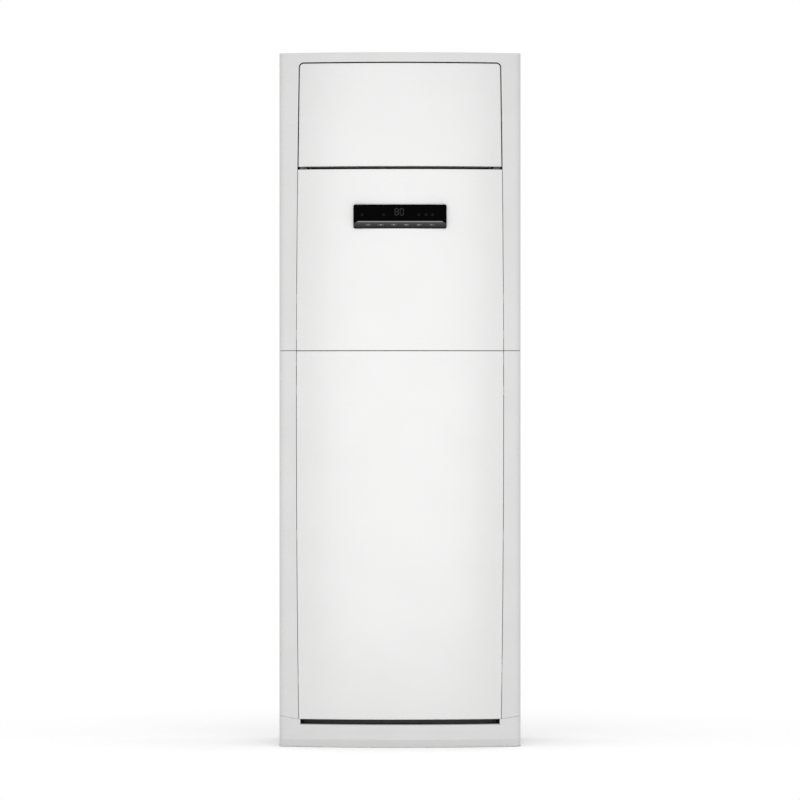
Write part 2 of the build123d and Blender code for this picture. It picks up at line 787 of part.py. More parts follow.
vane_count = 5
vane_pitch = (duct_half - 9.0) / 2.5
vane_chord = 48.0
vane_thickness = 2.6
vane_y = duct_front + 77.0
vane_low_z = duct_bottom + 8.0
vane_high_z = duct_top - 3.0
vane_pin_back = 18.0

step_motor_radius = 14.0
step_motor_length = 18.0
step_motor_ear = 7.0          # width of the ears it is screwed down by
step_motor_ear_sheet = 2.0
motor_pin = 5.0               # a driven pin reaches this far out of the duct
short_pin = 1.0               # other pins end this far inside the duct's outer face

# The door slides down and back along a straight line; its rack turns a cross shaft.
slide_slope = 0.12            # distance back for each millimetre down
door_travel = 250.0
rail_top_z = duct_top - 4.0
rail_top_y = front_y + 44.5
rail_bottom_z = rail_top_z - door_travel - 274.0
rail_width = 7.0
rail_web = 2.0
rail_flange = 1.8
tongue_thickness = 4.0
runner_x = duct_half + 11.5    # inner face of the runner plate
runner_plate = 3.0
rail_inner_x = runner_x + runner_plate + 2.7
rail_outer_x = rail_inner_x + rail_width
rail_pads = (-190.0, -20.0, 150.0)   # along the slide, from where the rack meshes
pad_length_z = 14.0
rack_width = 8.0
rack_back = 4.0               # bar behind the teeth
rack_offset = 3.9             # from the rail's face to the rack's pitch line
gear_module = 2.0
pinion_teeth = 16
pinion_z = bulkhead_bottom
rack_lead = 12.0              # rack beyond the meshing point at each end of its travel
backlash = 0.3
addendum = 0.9 * gear_module
dedendum = 1.25 * gear_module
pressure_angle = radians(20)
bond_gap = 0.02              # glued seat between the door and a runner
pitch_radius = gear_module * pinion_teeth / 2
shaft_radius = 4.0
ear_sheet = 4.0
ear_top_half = 16.0
ear_foot_half = 12.0

slide_angle = atan(slide_slope)
slide_sin = sin(slide_angle)
slide_cos = cos(slide_angle)
rail_to_rack = tongue_thickness / 2 + seat_gap + rail_flange + rack_offset
pinion_y = (
    rail_top_y
    + (rail_top_z - pinion_z + (rail_to_rack + pitch_radius) * slide_sin) * slide_slope
    + (rail_to_rack + pitch_radius) * slide_cos
)
mesh_y = pinion_y - pitch_radius * slide_cos
mesh_z = pinion_z - pitch_radius * slide_sin
up_slide = (0, -slide_sin, slide_cos)

louver_z = [louver_low_z + louver_pitch * i for i in range(louver_count)]
vane_x = [vane_pitch * (i - (vane_count - 1) / 2) for i in range(vane_count)]
duct_outer = duct_half + duct_sheet
duct_mid_z = (duct_bottom + duct_top) / 2
duct_height = duct_top - duct_bottom
ear_low_z = pinion_z - shaft_radius - 9
with BuildPart() as outlet_duct:
    with BuildSketch(Plane.XZ.offset(-duct_back)):
        with Locations((0, duct_mid_z)):
            Rectangle(2 * duct_outer, duct_height + 2 * duct_sheet)
    extrude(amount=duct_back - duct_front)
    with BuildSketch(Plane.XZ.offset(-duct_back)):
        with Locations((0, (bulkhead_bottom + bulkhead_top) / 2)):
            Rectangle(2 * (sheet_x - seat_gap), bulkhead_top - bulkhead_bottom)
    extrude(amount=bulkhead_sheet)
    with BuildSketch(Plane.XZ.offset(-duct_back - 1)):
        with Locations((0, duct_mid_z)):
            Rectangle(2 * duct_half, duct_height)
    extrude(amount=duct_back - duct_front + 2, mode=Mode.SUBTRACT)
    for side in (-1, 1):
        with BuildSketch(Plane.YZ.offset(side * duct_half)):
            with BuildLine():
                Polyline(
                    (pinion_y - ear_top_half, duct_bottom - duct_sheet),
                    (pinion_y - ear_foot_half, ear_low_z),
                    (pinion_y + ear_foot_half, ear_low_z),
                    (pinion_y + ear_top_half, duct_bottom - duct_sheet),
                    close=True,
                )
            make_face()
        extrude(amount=-side * ear_sheet)
    with BuildSketch(Plane.YZ.offset(-duct_outer - 1)):
        with Locations((pinion_y, pinion_z)):
            Circle(shaft_radius + pivot_fit)
        with Locations(*[(louver_y, z) for z in louver_z]):
            Circle(pivot_radius + pivot_fit)
    extrude(amount=2 * duct_outer + 2, mode=Mode.SUBTRACT)
    with BuildSketch(Plane.XY.offset(duct_bottom - duct_sheet - 1)):
        with Locations(*[(x, vane_y) for x in vane_x]):
            Circle(pivot_radius + pivot_fit)
    extrude(amount=duct_height + 2 * duct_sheet + 2, mode=Mode.SUBTRACT)
save(outlet_duct.part, "outlet_duct")

# Section of a louver: two shallow arcs between blunt tips, upright when the outlet is shut.
with BuildSketch() as louver_section:
    with BuildLine():
        back = ThreePointArc(
            (louver_tip / 2, -louver_chord / 2),
            (louver_thickness / 2, 0),
            (louver_tip / 2, louver_chord / 2),
        )
        front = ThreePointArc(
            (-louver_tip / 2, louver_chord / 2),
            (-louver_thickness / 2, 0),
            (-louver_tip / 2, -louver_chord / 2),
        )
        Line(back @ 1, front @ 0)
        Line(front @ 1, back @ 0)
    make_face()
blade_face = louver_section.sketch

crank_in_x = louver_half + 0.5
link_in_x = crank_in_x + crank_sheet + 0.5
for index, z in enumerate(louver_z):
    motor_side = index == louver_count // 2
    left_pin = duct_outer + (motor_pin if motor_side else -short_pin)
    with BuildPart() as louver:
        with BuildSketch(Plane.YZ.offset(-louver_half)):
            with Locations((louver_y, z)):
                add(blade_face)
        extrude(amount=louver_half + crank_in_x)
        with BuildSketch(Plane.YZ.offset(-left_pin)):
            with Locations((louver_y, z)):
                Circle(pivot_radius)
        extrude(amount=left_pin - louver_half)
        with BuildSketch(Plane.YZ.offset(louver_half)):
            with Locations((louver_y, z)):
                Circle(pivot_radius)
        extrude(amount=duct_outer - short_pin - louver_half)
        with BuildSketch(Plane.YZ.offset(crank_in_x)):
            with Locations((louver_y + crank_back / 2, z - crank_drop / 2)):
                SlotCenterToCenter(crank_radius, 2 * crank_boss, rotation=-louver_swing / 2)
        extrude(amount=crank_sheet)
        with BuildSketch(Plane.YZ.offset(crank_in_x + crank_sheet)):
            with Locations((louver_y + crank_back, z - crank_drop)):
                Circle(crank_pin_radius)
        extrude(amount=link_sheet + 1.5)
    save(louver.part, f"louver_{index + 1}")

with BuildPart() as louver_link:
    with BuildSketch(Plane.YZ.offset(link_in_x)):
        with Locations((louver_y + crank_back, duct_mid_z - crank_drop)):
            link_length = louver_pitch * (louver_count - 1) + 2 * link_half_width
            SlotOverall(link_length, 2 * link_half_width, rotation=90)
        with Locations(*[(louver_y + crank_back, z - crank_drop) for z in louver_z]):
            Circle(crank_pin_radius + pin_clearance, mode=Mode.SUBTRACT)
    extrude(amount=link_sheet)
save(louver_link.part, "louver_link")

link_low_z = duct_bottom + 3.0
for index, x in enumerate(vane_x):
    motor_side = index == vane_count // 2
    low_pin = duct_bottom - duct_sheet - (motor_pin if motor_side else -short_pin)
    with BuildPart() as vane:
        with BuildSketch(Plane.XY.offset(vane_low_z)):
            with Locations((x, vane_y)):
                SlotOverall(vane_chord, vane_thickness, rotation=90)
        extrude(amount=vane_high_z - vane_low_z)
        with BuildSketch(Plane.XY.offset(low_pin)):
            with Locations((x, vane_y)):
                Circle(pivot_radius)
        extrude(amount=duct_top + duct_sheet - short_pin - low_pin)
        with BuildSketch(Plane.XY.offset(vane_low_z)):
            with Locations((x, vane_y + vane_pin_back)):
                Circle(crank_pin_radius)
        extrude(amount=link_low_z - 1.0 - vane_low_z)
    save(vane.part, f"vane_{index + 1}")

with BuildPart() as vane_link:
    with BuildSketch(Plane.XY.offset(link_low_z)):
        with Locations((0, vane_y + vane_pin_back)):
            SlotOverall(vane_pitch * (vane_count - 1) + 2 * link_half_width, 2 * link_half_width)
        with Locations(*[(x, vane_y + vane_pin_back) for x in vane_x]):
            Circle(crank_pin_radius + pin_clearance, mode=Mode.SUBTRACT)
    extrude(amount=link_sheet)
save(vane_link.part, "vane_link")

motor_bore = pivot_radius + pivot_fit
motor_bore_depth = 8.0
with BuildPart() as louver_motor:
    with BuildSketch(Plane.YZ.offset(-duct_outer - seat_gap)):
        with Locations((louver_y, louver_z[louver_count // 2])):
            Circle(step_motor_radius)
            SlotOverall(3.2 * step_motor_radius, step_motor_ear, rotation=90)
    extrude(amount=-step_motor_ear_sheet)
    with BuildSketch(Plane.YZ.offset(-duct_outer - seat_gap - step_motor_ear_sheet)):
        with Locations((louver_y, louver_z[louver_count // 2])):
            Circle(step_motor_radius)
    extrude(amount=step_motor_ear_sheet - step_motor_length)
    with BuildSketch(Plane.YZ.offset(-duct_outer)):
        with Locations((louver_y, louver_z[louver_count // 2])):
            Circle(motor_bore)
    extrude(amount=-motor_bore_depth, mode=Mode.SUBTRACT)
save(louver_motor.part, "louver_motor")

with BuildPart() as vane_motor:
    with BuildSketch(Plane.XY.offset(duct_bottom - duct_sheet - seat_gap)):
        with Locations((vane_x[vane_count // 2], vane_y)):
            Circle(step_motor_radius)
            SlotOverall(3.2 * step_motor_radius, step_motor_ear)
    extrude(amount=-step_motor_ear_sheet)
    with BuildSketch(Plane.XY.offset(duct_bottom - duct_sheet - seat_gap - step_motor_ear_sheet)):
        with Locations((vane_x[vane_count // 2], vane_y)):
            Circle(step_motor_radius)
    extrude(amount=step_motor_ear_sheet - step_motor_length)
    with BuildSketch(Plane.XY.offset(duct_bottom - duct_sheet)):
        with Locations((vane_x[vane_count // 2], vane_y)):
            Circle(motor_bore)
    extrude(amount=-motor_bore_depth, mode=Mode.SUBTRACT)
save(vane_motor.part, "vane_motor")

# ---------------------------------------------------------------- door runners, rails and drive
tongue_outer_x = rail_outer_x - rail_web - 0.5
rack_low = -rack_lead - pitch_radius / 4
rack_high = door_travel + rack_lead
rack_pitch = pi * gear_module
tooth_half = rack_pitch / 4 - backlash / 4
door_inner = door_outer + door_wall


def slide_point(along, back):
    """YZ point given along the rack, upward from the meshing point, and back from its pitch line."""
    return (
        mesh_y - along * slide_sin + back * slide_cos,
        mesh_z + along * slide_cos + back * slide_sin,
    )


def slide_plane(along, back):
    """Plane across the slide: local x is X, local y points back from the rack."""
    y, z = slide_point(along, back)
    return Plane(origin=(0, y, z), x_dir=(1, 0, 0), z_dir=up_slide)


def door_runner(side):
    """Side plate behind the door with its guide tongue and its rack."""
    root = -dedendum
    first = int(rack_low / rack_pitch) + 1
    teeth = int((rack_high - first * rack_pitch) / rack_pitch)
    half_root = tooth_half + dedendum * tan(pressure_angle)
    half_tip = tooth_half - addendum * tan(pressure_angle)
    plate_x = side * runner_x
    low_point = slide_point(rack_low, root)
    high_point = slide_point(rack_high, root)
    foot_z = door_bottom + door_wall + seat_gap
    tongue_back = -rail_to_rack
    tongue_y, tongue_z = slide_point(rack_low, tongue_back - tongue_thickness)
    rack_origin_y, rack_origin_z = slide_point(0, 0)
    rack_face = side * (runner_x + runner_plate)
    with BuildPart() as runner:
        with BuildSketch(Plane.YZ.offset(plate_x)):
            with BuildLine():
                Polyline(
                    low_point,
                    high_point,
                    (front_y, high_point[1]),
                    (front_y, foot_z),
                    (tongue_y, foot_z),
                    (tongue_y, tongue_z),
                    close=True,
                )
            make_face()
        extrude(amount=side * runner_plate)
        door_inside = cabinet_block(door_inner + bond_gap, mesh_z - 2 * rack_lead, door_top, duct_back)
        add(door_inside, mode=Mode.INTERSECT)
        with BuildSketch(slide_plane(rack_low, tongue_back)):
            with Locations((side * (runner_x + tongue_outer_x) / 2, 0)):
                Rectangle(tongue_outer_x - runner_x, tongue_thickness)
        extrude(amount=rack_high - rack_low)
        rack_plane = Plane(
            origin=(rack_face, rack_origin_y, rack_origin_z), x_dir=up_slide, z_dir=(-1, 0, 0)
        )
        with BuildSketch(rack_plane):
            with Locations(((rack_low + rack_high) / 2, root - rack_back / 2)):
                Rectangle(rack_high - rack_low, rack_back)
            with Locations(*[((first + i + 0.5) * rack_pitch, 0) for i in range(teeth)]):
                Polygon(
                    (-half_root, root),
                    (-half_tip, addendum),
                    (half_tip, addendum),
                    (half_root, root),
                    align=None,
                )
        extrude(amount=side * rack_width)
    return runner.part


save(door_runner(-1), "left_door_runner")
save(door_runner(1), "right_door_runner")


def door_rail(side):
    """Channel that guides a runner's tongue, with pads against the wall beside it."""
    rail_length = (rail_top_z - rail_bottom_z) / slide_cos
    groove = tongue_thickness + 2 * seat_gap
    rail_thickness = groove + 2 * rail_flange
    top_along = (rail_top_z - mesh_z) / slide_cos
    mid_x = side * (rail_inner_x + rail_outer_x) / 2
    groove_x = side * (rail_inner_x + rail_outer_x - rail_web) / 2
    with BuildPart() as rail:
        with BuildSketch(slide_plane(top_along, -rail_to_rack)):
            with Locations((mid_x, 0)):
                Rectangle(rail_outer_x - rail_inner_x, rail_thickness)
            with Locations((groove_x, 0)):
                Rectangle(rail_outer_x - rail_inner_x - rail_web, groove, mode=Mode.SUBTRACT)
        extrude(amount=-rail_length)
        for along in rail_pads:
            pad_y, pad_z = slide_point(along, -rail_to_rack)
            pad_length = edge_at(pad_z) - seat_gap - rail_outer_x + 0.5
            with BuildSketch(Plane.YZ.offset(side * (rail_outer_x - 0.5))):
                with Locations((pad_y, pad_z)):
                    Rectangle(rail_thickness - 1, pad_length_z)
            extrude(amount=side * pad_length)
    return rail.part


with BuildPart() as door_rails:
    add(door_rail(-1))
    add(door_rail(1))
save(door_rails.part, "door_rails")


def involute_flank(base, start, end, turn, steps=4):
    """Points of an involute from one radius to another, turned about the gear's centre."""
    points = []
    for i in range(steps + 1):
        radius = start + (end - start) * i / steps
        unwound = sqrt(max((radius / base) ** 2 - 1, 0))
        angle = turn + unwound - atan(unwound)
        points.append((radius * cos(angle), radius * sin(angle)))
    return points


# Pinion: a tooth points at the rack, and the flanks are involutes of the pressure angle.
base_radius = pitch_radius * cos(pressure_angle)
tip_radius = pitch_radius + addendum
root_radius = pitch_radius - dedendum
involute_at_pitch = tan(pressure_angle) - pressure_angle
half_tooth_angle = pi / (2 * pinion_teeth) - backlash / (4 * pitch_radius)
flank_turn = -half_tooth_angle - involute_at_pitch
lower_flank = involute_flank(base_radius, base_radius, tip_radius, flank_turn)
upper_flank = [(x, -y) for x, y in reversed(lower_flank)]
root_half = abs(flank_turn)
with BuildSketch() as pinion_sketch:
    Circle(root_radius)
    with BuildSketch(mode=Mode.PRIVATE) as tooth:
        with BuildLine():
            Polyline(
                (root_radius * 0.9 * cos(root_half), -root_radius * 0.9 * sin(root_half)),
                *lower_flank,
                *upper_flank,
                (root_radius * 0.9 * cos(root_half), root_radius * 0.9 * sin(root_half)),
                close=True,
            )
        make_face()
    with PolarLocations(0, pinion_teeth):
        add(tooth.sketch)
pinion_face = pinion_sketch.sketch

hub_radius = 7.0
shaft_half = runner_x + runner_plate + 1.0
with BuildPart() as door_shaft:
    with BuildSketch(Plane.YZ.offset(-shaft_half)):
        with Locations((pinion_y, pinion_z)):
            Circle(shaft_radius)
    extrude(amount=2 * shaft_half)
    for side in (-1, 1):
        pinion_in = side * (runner_x + runner_plate - rack_width)
        with BuildSketch(Plane.YZ.offset(pinion_in)):
            with Locations(Location((pinion_y, pinion_z, 0), (0, 0, 1), 180 + degrees(slide_angle))):
                add(pinion_face)
        extrude(amount=side * rack_width)
        with BuildSketch(Plane.YZ.offset(side * (duct_half + seat_gap))):
            with Locations((pinion_y, pinion_z)):
                Circle(hub_radius)
        extrude(amount=side * (abs(pinion_in) - duct_half - seat_gap))
save(door_shaft.part, "door_pinion_shaft")

door_motor_radius = 15.0
door_motor_length = 34.0
door_motor_x = duct_half - ear_sheet - seat_gap
with BuildPart() as door_motor:
    with BuildSketch(Plane.YZ.offset(door_motor_x)):
        with Locations((pinion_y, pinion_z)):
            Circle(door_motor_radius)
    extrude(amount=-door_motor_length)
    with BuildSketch(Plane.YZ.offset(door_motor_x)):
        with Locations((pinion_y, pinion_z)):
            Circle(shaft_radius + pivot_fit)
    extrude(amount=-door_motor_length, mode=Mode.SUBTRACT)
save(door_motor.part, "door_motor")

# ---------------------------------------------------------------- fan
fan_x = -18.0
fan_z = 330.0
casing_front = front_y + 127.5
casing_back = rear_y - 108.0
casing_depth = casing_back - casing_front
casing_sheet = 1.5
casing_top = 590.0
scroll_start = 70             # degrees, at the cut-off
scroll_angles = (scroll_start, 105, 140, 215, 290, 360)
scroll_radius_start = 182.0
scroll_radius_end = 246.0
foot_width = 300.0
inlet_radius = 124.0
bell_radius = 20.0
wheel_radius = 160.0
wheel_gap = 12.0              # wheel behind the casing's front plate
wheel_width = casing_depth - wheel_gap - 15.0
blade_count = 36
blade_depth = 26.0
blade_sheet = 1.4
wheel_disc = 2.0
wheel_ring = 4.0
hub_outer = 22.0
hub_length = 34.0
fan_shaft_radius = 6.0
shaft_fit = 0.05
fan_motor_radius = 66.0
fan_motor_length = 82.0
motor_lug_radius = 9.0
motor_lug_sheet = 6.0
motor_edge_round = 8.0
foot_top_z = fan_z - 175.0
blade_belly = 3.5             # how far a blade curves out of its chord
blade_sweep = 6.0             # how far its outer edge leads


def scroll_point(angle):
    """Point of the fan scroll: its radius grows evenly with the angle from the cut-off."""
    share = (angle - scroll_start) / (360 - scroll_start)
    radius = scroll_radius_start + (scroll_radius_end - scroll_radius_start) * share
    return (fan_x + radius * cos(radians(angle)), fan_z + radius * sin(radians(angle)))


with BuildSketch() as scroll_sketch:
    with BuildLine():
        cut_off = ThreePointArc(*[scroll_point(angle) for angle in scroll_angles[:3]])
        curve = cut_off
        for angle in scroll_angles[3:]:
            curve = TangentArc(curve @ 1, scroll_point(angle), tangent=curve % 1)
        Polyline(
            curve @ 1,
            ((curve @ 1).X, casing_top),
            ((cut_off @ 0).X, casing_top),
            cut_off @ 0,
        )
    make_face()
scroll_face = scroll_sketch.sketch
outlet_left = fan_x + scroll_radius_start * cos(radians(scroll_start))
outlet_right = fan_x + scroll_radius_end
with BuildPart() as fan_casing:
    with BuildSketch(Plane.XZ.offset(-casing_back)):
        add(scroll_face)
    extrude(amount=casing_depth)
    with BuildSketch(Plane.XZ.offset(-casing_back + casing_sheet)):
        offset(scroll_face, amount=-casing_sheet)
        with Locations(((outlet_left + outlet_right) / 2, casing_top)):
            Rectangle(outlet_right - outlet_left - 2 * casing_sheet, 8 * casing_sheet)
    extrude(amount=casing_depth - 2 * casing_sheet, mode=Mode.SUBTRACT)
    for plate_y in (casing_back, casing_front + casing_sheet):
        with BuildSketch(Plane.XZ.offset(-plate_y)):
            with BuildLine():
                Polyline(
                    (fan_x - foot_width / 2, pan_sheet + seat_gap),
                    (fan_x + foot_width / 2, pan_sheet + seat_gap),
                    (fan_x + foot_width / 2, foot_top_z),
                    (fan_x - foot_width / 2, foot_top_z),
                    close=True,
                )
            make_face()
            add(scroll_face, mode=Mode.SUBTRACT)
        extrude(amount=casing_sheet)
    with BuildSketch(Plane.XZ.offset(-casing_front + 1)):
        with Locations((fan_x, fan_z)):
            Circle(inlet_radius + bell_radius)
    extrude(amount=-casing_sheet - 2, mode=Mode.SUBTRACT)
    with BuildSketch(Plane.XY.offset(fan_z)):
        with BuildLine():
            bell_centre = (fan_x + inlet_radius + bell_radius, casing_front + bell_radius)
            outer_bell = CenterArc(bell_centre, bell_radius, 180, 90)
            inner_bell = CenterArc(bell_centre, bell_radius - casing_sheet, 180, 90)
            Line(outer_bell @ 0, inner_bell @ 0)
            Line(outer_bell @ 1, inner_bell @ 1)
        make_face()
    revolve(axis=Axis((fan_x, 0, fan_z), (0, 1, 0)), revolution_arc=360)
    with BuildSketch(Plane.XZ.offset(-casing_back - 1)):
        with Locations((fan_x, fan_z)):
            Circle(hub_outer)
    extrude(amount=casing_sheet + 2, mode=Mode.SUBTRACT)
save(fan_casing.part, "fan_casing")

with BuildSketch() as blade_sketch:
    with BuildLine():
        # Forward curved blade: an arc from the inner to the outer rim, as thick as its sheet.
        blade_in = wheel_radius - blade_depth - 1
        blade_mid = wheel_radius - blade_depth / 2
        blade_out = wheel_radius - 1
        inner_face = ThreePointArc((blade_in, 0), (blade_mid, -blade_belly), (blade_out, blade_sweep))
        outer_face = ThreePointArc(
            (blade_out, blade_sweep + blade_sheet),
            (blade_mid, blade_sheet - blade_belly),
            (blade_in, blade_sheet),
        )
        Line(inner_face @ 1, outer_face @ 0)
        Line(outer_face @ 1, inner_face @ 0)
    make_face()
fan_blade = blade_sketch.sketch

wheel_front = casing_front + wheel_gap
wheel_back = wheel_front + wheel_width
with BuildPart() as impeller:
    with BuildSketch(Plane.XZ.offset(-wheel_back)):
        with Locations((fan_x, fan_z)):
            Circle(wheel_radius)
    extrude(amount=wheel_disc)
    with BuildSketch(Plane.XZ.offset(-wheel_front - wheel_ring)):
        with Locations((fan_x, fan_z)):
            Circle(wheel_radius)
            Circle(wheel_radius - blade_depth, mode=Mode.SUBTRACT)
    extrude(amount=wheel_ring)
    with BuildSketch(Plane.XZ.offset(-wheel_back + wheel_disc / 2)):
        with Locations((fan_x, fan_z)):
            with PolarLocations(0, blade_count):
                add(fan_blade)
    extrude(amount=wheel_width - wheel_disc / 2 - wheel_ring / 2)
    with BuildSketch(Plane.XZ.offset(-wheel_back)):
        with Locations((fan_x, fan_z)):
            Circle(hub_outer - 2)
    extrude(amount=hub_length)
    with BuildSketch(Plane.XZ.offset(-wheel_back - 1)):
        with Locations((fan_x, fan_z)):
            Circle(fan_shaft_radius + shaft_fit)
    extrude(amount=wheel_width, mode=Mode.SUBTRACT)
save(impeller.part, "impeller")

motor_face_y = casing_back + seat_gap
motor_end_wall = 8.0
nut_radius = 10.0
nut_height = 6.0
hub_front_y = wheel_back - hub_length
with BuildPart() as fan_shaft:
    with BuildSketch(Plane.XZ.offset(-motor_face_y - fan_motor_length + motor_end_wall + 1)):
        with Locations((fan_x, fan_z)):
            Circle(fan_shaft_radius)
    extrude(amount=motor_face_y + fan_motor_length - motor_end_wall - 1 - hub_front_y + nut_height)
    with BuildSketch(Plane.XZ.offset(-hub_front_y + seat_gap)):
        with Locations((fan_x, fan_z)):
            RegularPolygon(nut_radius, 6)
    extrude(amount=nut_height - seat_gap)
save(fan_shaft.part, "fan_shaft")

with BuildPart() as fan_motor:
    with BuildSketch(Plane.XZ.offset(-motor_face_y)):
        with Locations((fan_x, fan_z)):
            Circle(fan_motor_radius)
    extrude(amount=-fan_motor_length)
    fillet(fan_motor.edges().sort_by(Axis.Y)[-1], motor_edge_round)
    with BuildSketch(Plane.XZ.offset(-motor_face_y)):
        with Locations((fan_x, fan_z)):
            with PolarLocations(fan_motor_radius, 4, start_angle=45):
                Circle(motor_lug_radius)
    extrude(amount=-motor_lug_sheet)
    with BuildSketch(Plane.XZ.offset(-motor_face_y)):
        with Locations((fan_x, fan_z)):
            Circle(fan_shaft_radius + shaft_fit)
    extrude(amount=-fan_motor_length + motor_end_wall, mode=Mode.SUBTRACT)
save(fan_motor.part, "fan_motor")

# ---------------------------------------------------------------- cooling coil and its pipes
pan_low_z = casing_top + 22.0
pan_top_z = pan_low_z + 33.0
drip_half = half_width - 54.5
drip_front = front_y + 37.5
drip_back = front_y + 117.5
drip_wall = 2.5
ear_front = front_y + 87.5
ear_half = sheet_x - seat_gap

coil_foot = (front_y + 81.5, pan_top_z + 7.0)
coil_head = (rear_y - 55.0, seam_z + 173.0)
coil_thickness = 50.0
coil_half = half_width - 74.5
coil_plate = 2.0
coil_plate_edge = 4.0         # end plates reach past the fins by this
fin_pitch = 10.0
fin_sheet = 2.0
fin_web = 4.0                 # middle sheet of the fins, in the plane of the tubes
bend_count = 10
bend_radius = 13.0
tube_radius = 4.8
coil_length = sqrt((coil_head[0] - coil_foot[0]) ** 2 + (coil_head[1] - coil_foot[1]) ** 2)
coil_tilt = degrees(atan((coil_head[0] - coil_foot[0]) / (coil_head[1] - coil_foot[1])))
coil_middle = ((coil_foot[0] + coil_head[0]) / 2, (coil_foot[1] + coil_head[1]) / 2)

pipe_wall = 1.0
pipe_bend = 15.0
union_hex = 9.0
union_thread = 14.0
pipe_end_y = rear_y - 43.0
gas_radius = 9.525
gas_hex = 16.0
gas_thread = 13.0
gas_share = 0.30              # place of a pipe's start along the coil
gas_x = pipe_hole_x + 16.0
gas_z = pipe_hole_z + 10.0
gas_run_y = rear_y - 68.0
liquid_radius = 4.76
liquid_hex = 10.0
liquid_thread = 7.9
liquid_share = 0.14
liquid_x = pipe_hole_x - 4.0
liquid_z = pipe_hole_z - 20.0
liquid_run_x = half_width - 42.5
liquid_run_y = rear_y - 95.0
liquid_jog_z = 300.0

drain_x = pipe_hole_x - 20.0
drain_y = front_y + 77.5
drain_z = pipe_hole_z + 6.0
drain_radius = 9.0
drain_bore = 7.5
drain_bend = 24.0
drain_collar_radius = 10.0
drain_collar = 24.0
spigot_radius = drain_bore - seat_gap
spigot_bore = 5.5
spigot_length = 25.0


def coil_point(share):
    """YZ point on the coil's middle line, from its foot to its head."""
    return (
        coil_foot[0] + (coil_head[0] - coil_foot[0]) * share,
        coil_foot[1] + (coil_head[1] - coil_foot[1]) * share,
    )


# Coil: fins on both sides of the tubes' plane, end plates, and return bends at the left.
ear_share = 0.97
head_y, head_z = coil_point(ear_share)
tilt_sin = sin(radians(coil_tilt))
tilt_cos = cos(radians(coil_tilt))
coil_across = (0, tilt_cos, -tilt_sin)
fin_count = int(2 * coil_half / fin_pitch)
slot_depth = (coil_thickness - fin_web) / 2
slot_centre = (fin_web + slot_depth) / 2
coil_end = Plane(origin=(0, *coil_middle), x_dir=coil_across, z_dir=(0, tilt_sin, tilt_cos))
with BuildPart() as evaporator:
    with BuildSketch(coil_end.offset(-coil_length / 2)):
        Rectangle(coil_thickness, 2 * coil_half)
        with Locations((slot_centre, 0), (-slot_centre, 0)):
            with GridLocations(1, fin_pitch, 1, fin_count):
                Rectangle(slot_depth, fin_pitch - fin_sheet, mode=Mode.SUBTRACT)
    extrude(amount=coil_length)
    for side in (-1, 1):
        with BuildSketch(Plane.YZ.offset(side * coil_half)):
            with Locations(coil_middle):
                Rectangle(
                    coil_thickness + 2 * coil_plate_edge,
                    coil_length + 2 * coil_plate_edge,
                    rotation=-coil_tilt,
                )
        extrude(amount=side * coil_plate)
        ear_length = ear_half - coil_half
        with BuildSketch(Plane.XY.offset(head_z)):
            with Locations((side * (coil_half + ear_length / 2), head_y)):
                Rectangle(ear_length, coil_thickness)
        extrude(amount=coil_plate)
    plate_x = -coil_half - coil_plate
    for i in range(bend_count):
        bend_y, bend_z = coil_point((i + 0.5) / bend_count)
        tube_point = (bend_y + bend_radius * tilt_sin, bend_z + bend_radius * tilt_cos)
        with BuildSketch(Plane.YZ.offset(plate_x)):
            with Locations(tube_point):
                Circle(tube_radius)
        revolve(axis=Axis((plate_x, bend_y, bend_z), coil_across), revolution_arc=180)
save(evaporator.part, "evaporator")

with BuildPart() as drain_pan:
    with BuildSketch(Plane.XY.offset(pan_low_z)):
        with Locations((0, (drip_front + drip_back) / 2)):
            Rectangle(2 * drip_half, drip_back - drip_front)
    extrude(amount=pan_top_z - pan_low_z)
    with BuildSketch(Plane.XY.offset(pan_low_z + drip_wall)):
        with Locations((0, (drip_front + drip_back) / 2)):
            Rectangle(2 * (drip_half - drip_wall), drip_back - drip_front - 2 * drip_wall)
    extrude(amount=pan_top_z - pan_low_z, mode=Mode.SUBTRACT)
    for side in (-1, 1):
        with BuildSketch(Plane.XY.offset(pan_top_z - drip_wall)):
            with Locations((side * (drip_half + ear_half) / 2, (ear_front + drip_back) / 2)):
                Rectangle(ear_half - drip_half, drip_back - ear_front)
        extrude(amount=drip_wall)
    with BuildSketch(Plane.XY.offset(pan_low_z)):
        with Locations((drain_x, drain_y)):
            Circle(spigot_radius)
    extrude(amount=-spigot_length)
    with BuildSketch(Plane.XY.offset(pan_low_z + drip_wall + 1)):
        with Locations((drain_x, drain_y)):
            Circle(spigot_bore)
    extrude(amount=-spigot_length - drip_wall - 2, mode=Mode.SUBTRACT)
save(drain_pan.part, "drain_pan")

# Rigid plastic pipe that slips over the drip tray's spigot and ends in the pipe hole.
# A collar at its end takes the drain hose.
drain_top_z = pan_low_z - seat_gap
drain_end_y = pipe_end_y + union_hex + union_thread
drain_route = [(drain_x, drain_y, drain_top_z), (drain_x, drain_y, drain_z), (drain_x, drain_end_y, drain_z)]
with BuildPart() as drain_pipe:
    with BuildLine():
        drain_path = FilletPolyline(*drain_route, radius=drain_bend)
    with BuildSketch(Plane(origin=drain_path @ 0, z_dir=drain_path % 0)):
        Circle(drain_radius)
        Circle(drain_bore, mode=Mode.SUBTRACT)
    sweep()
    with BuildSketch(Plane.XZ.offset(-drain_end_y)):
        with Locations((drain_x, drain_z)):
            Circle(drain_collar_radius)
            Circle(drain_bore, mode=Mode.SUBTRACT)
    extrude(amount=drain_collar)
save(drain_pipe.part, "drain_pipe")


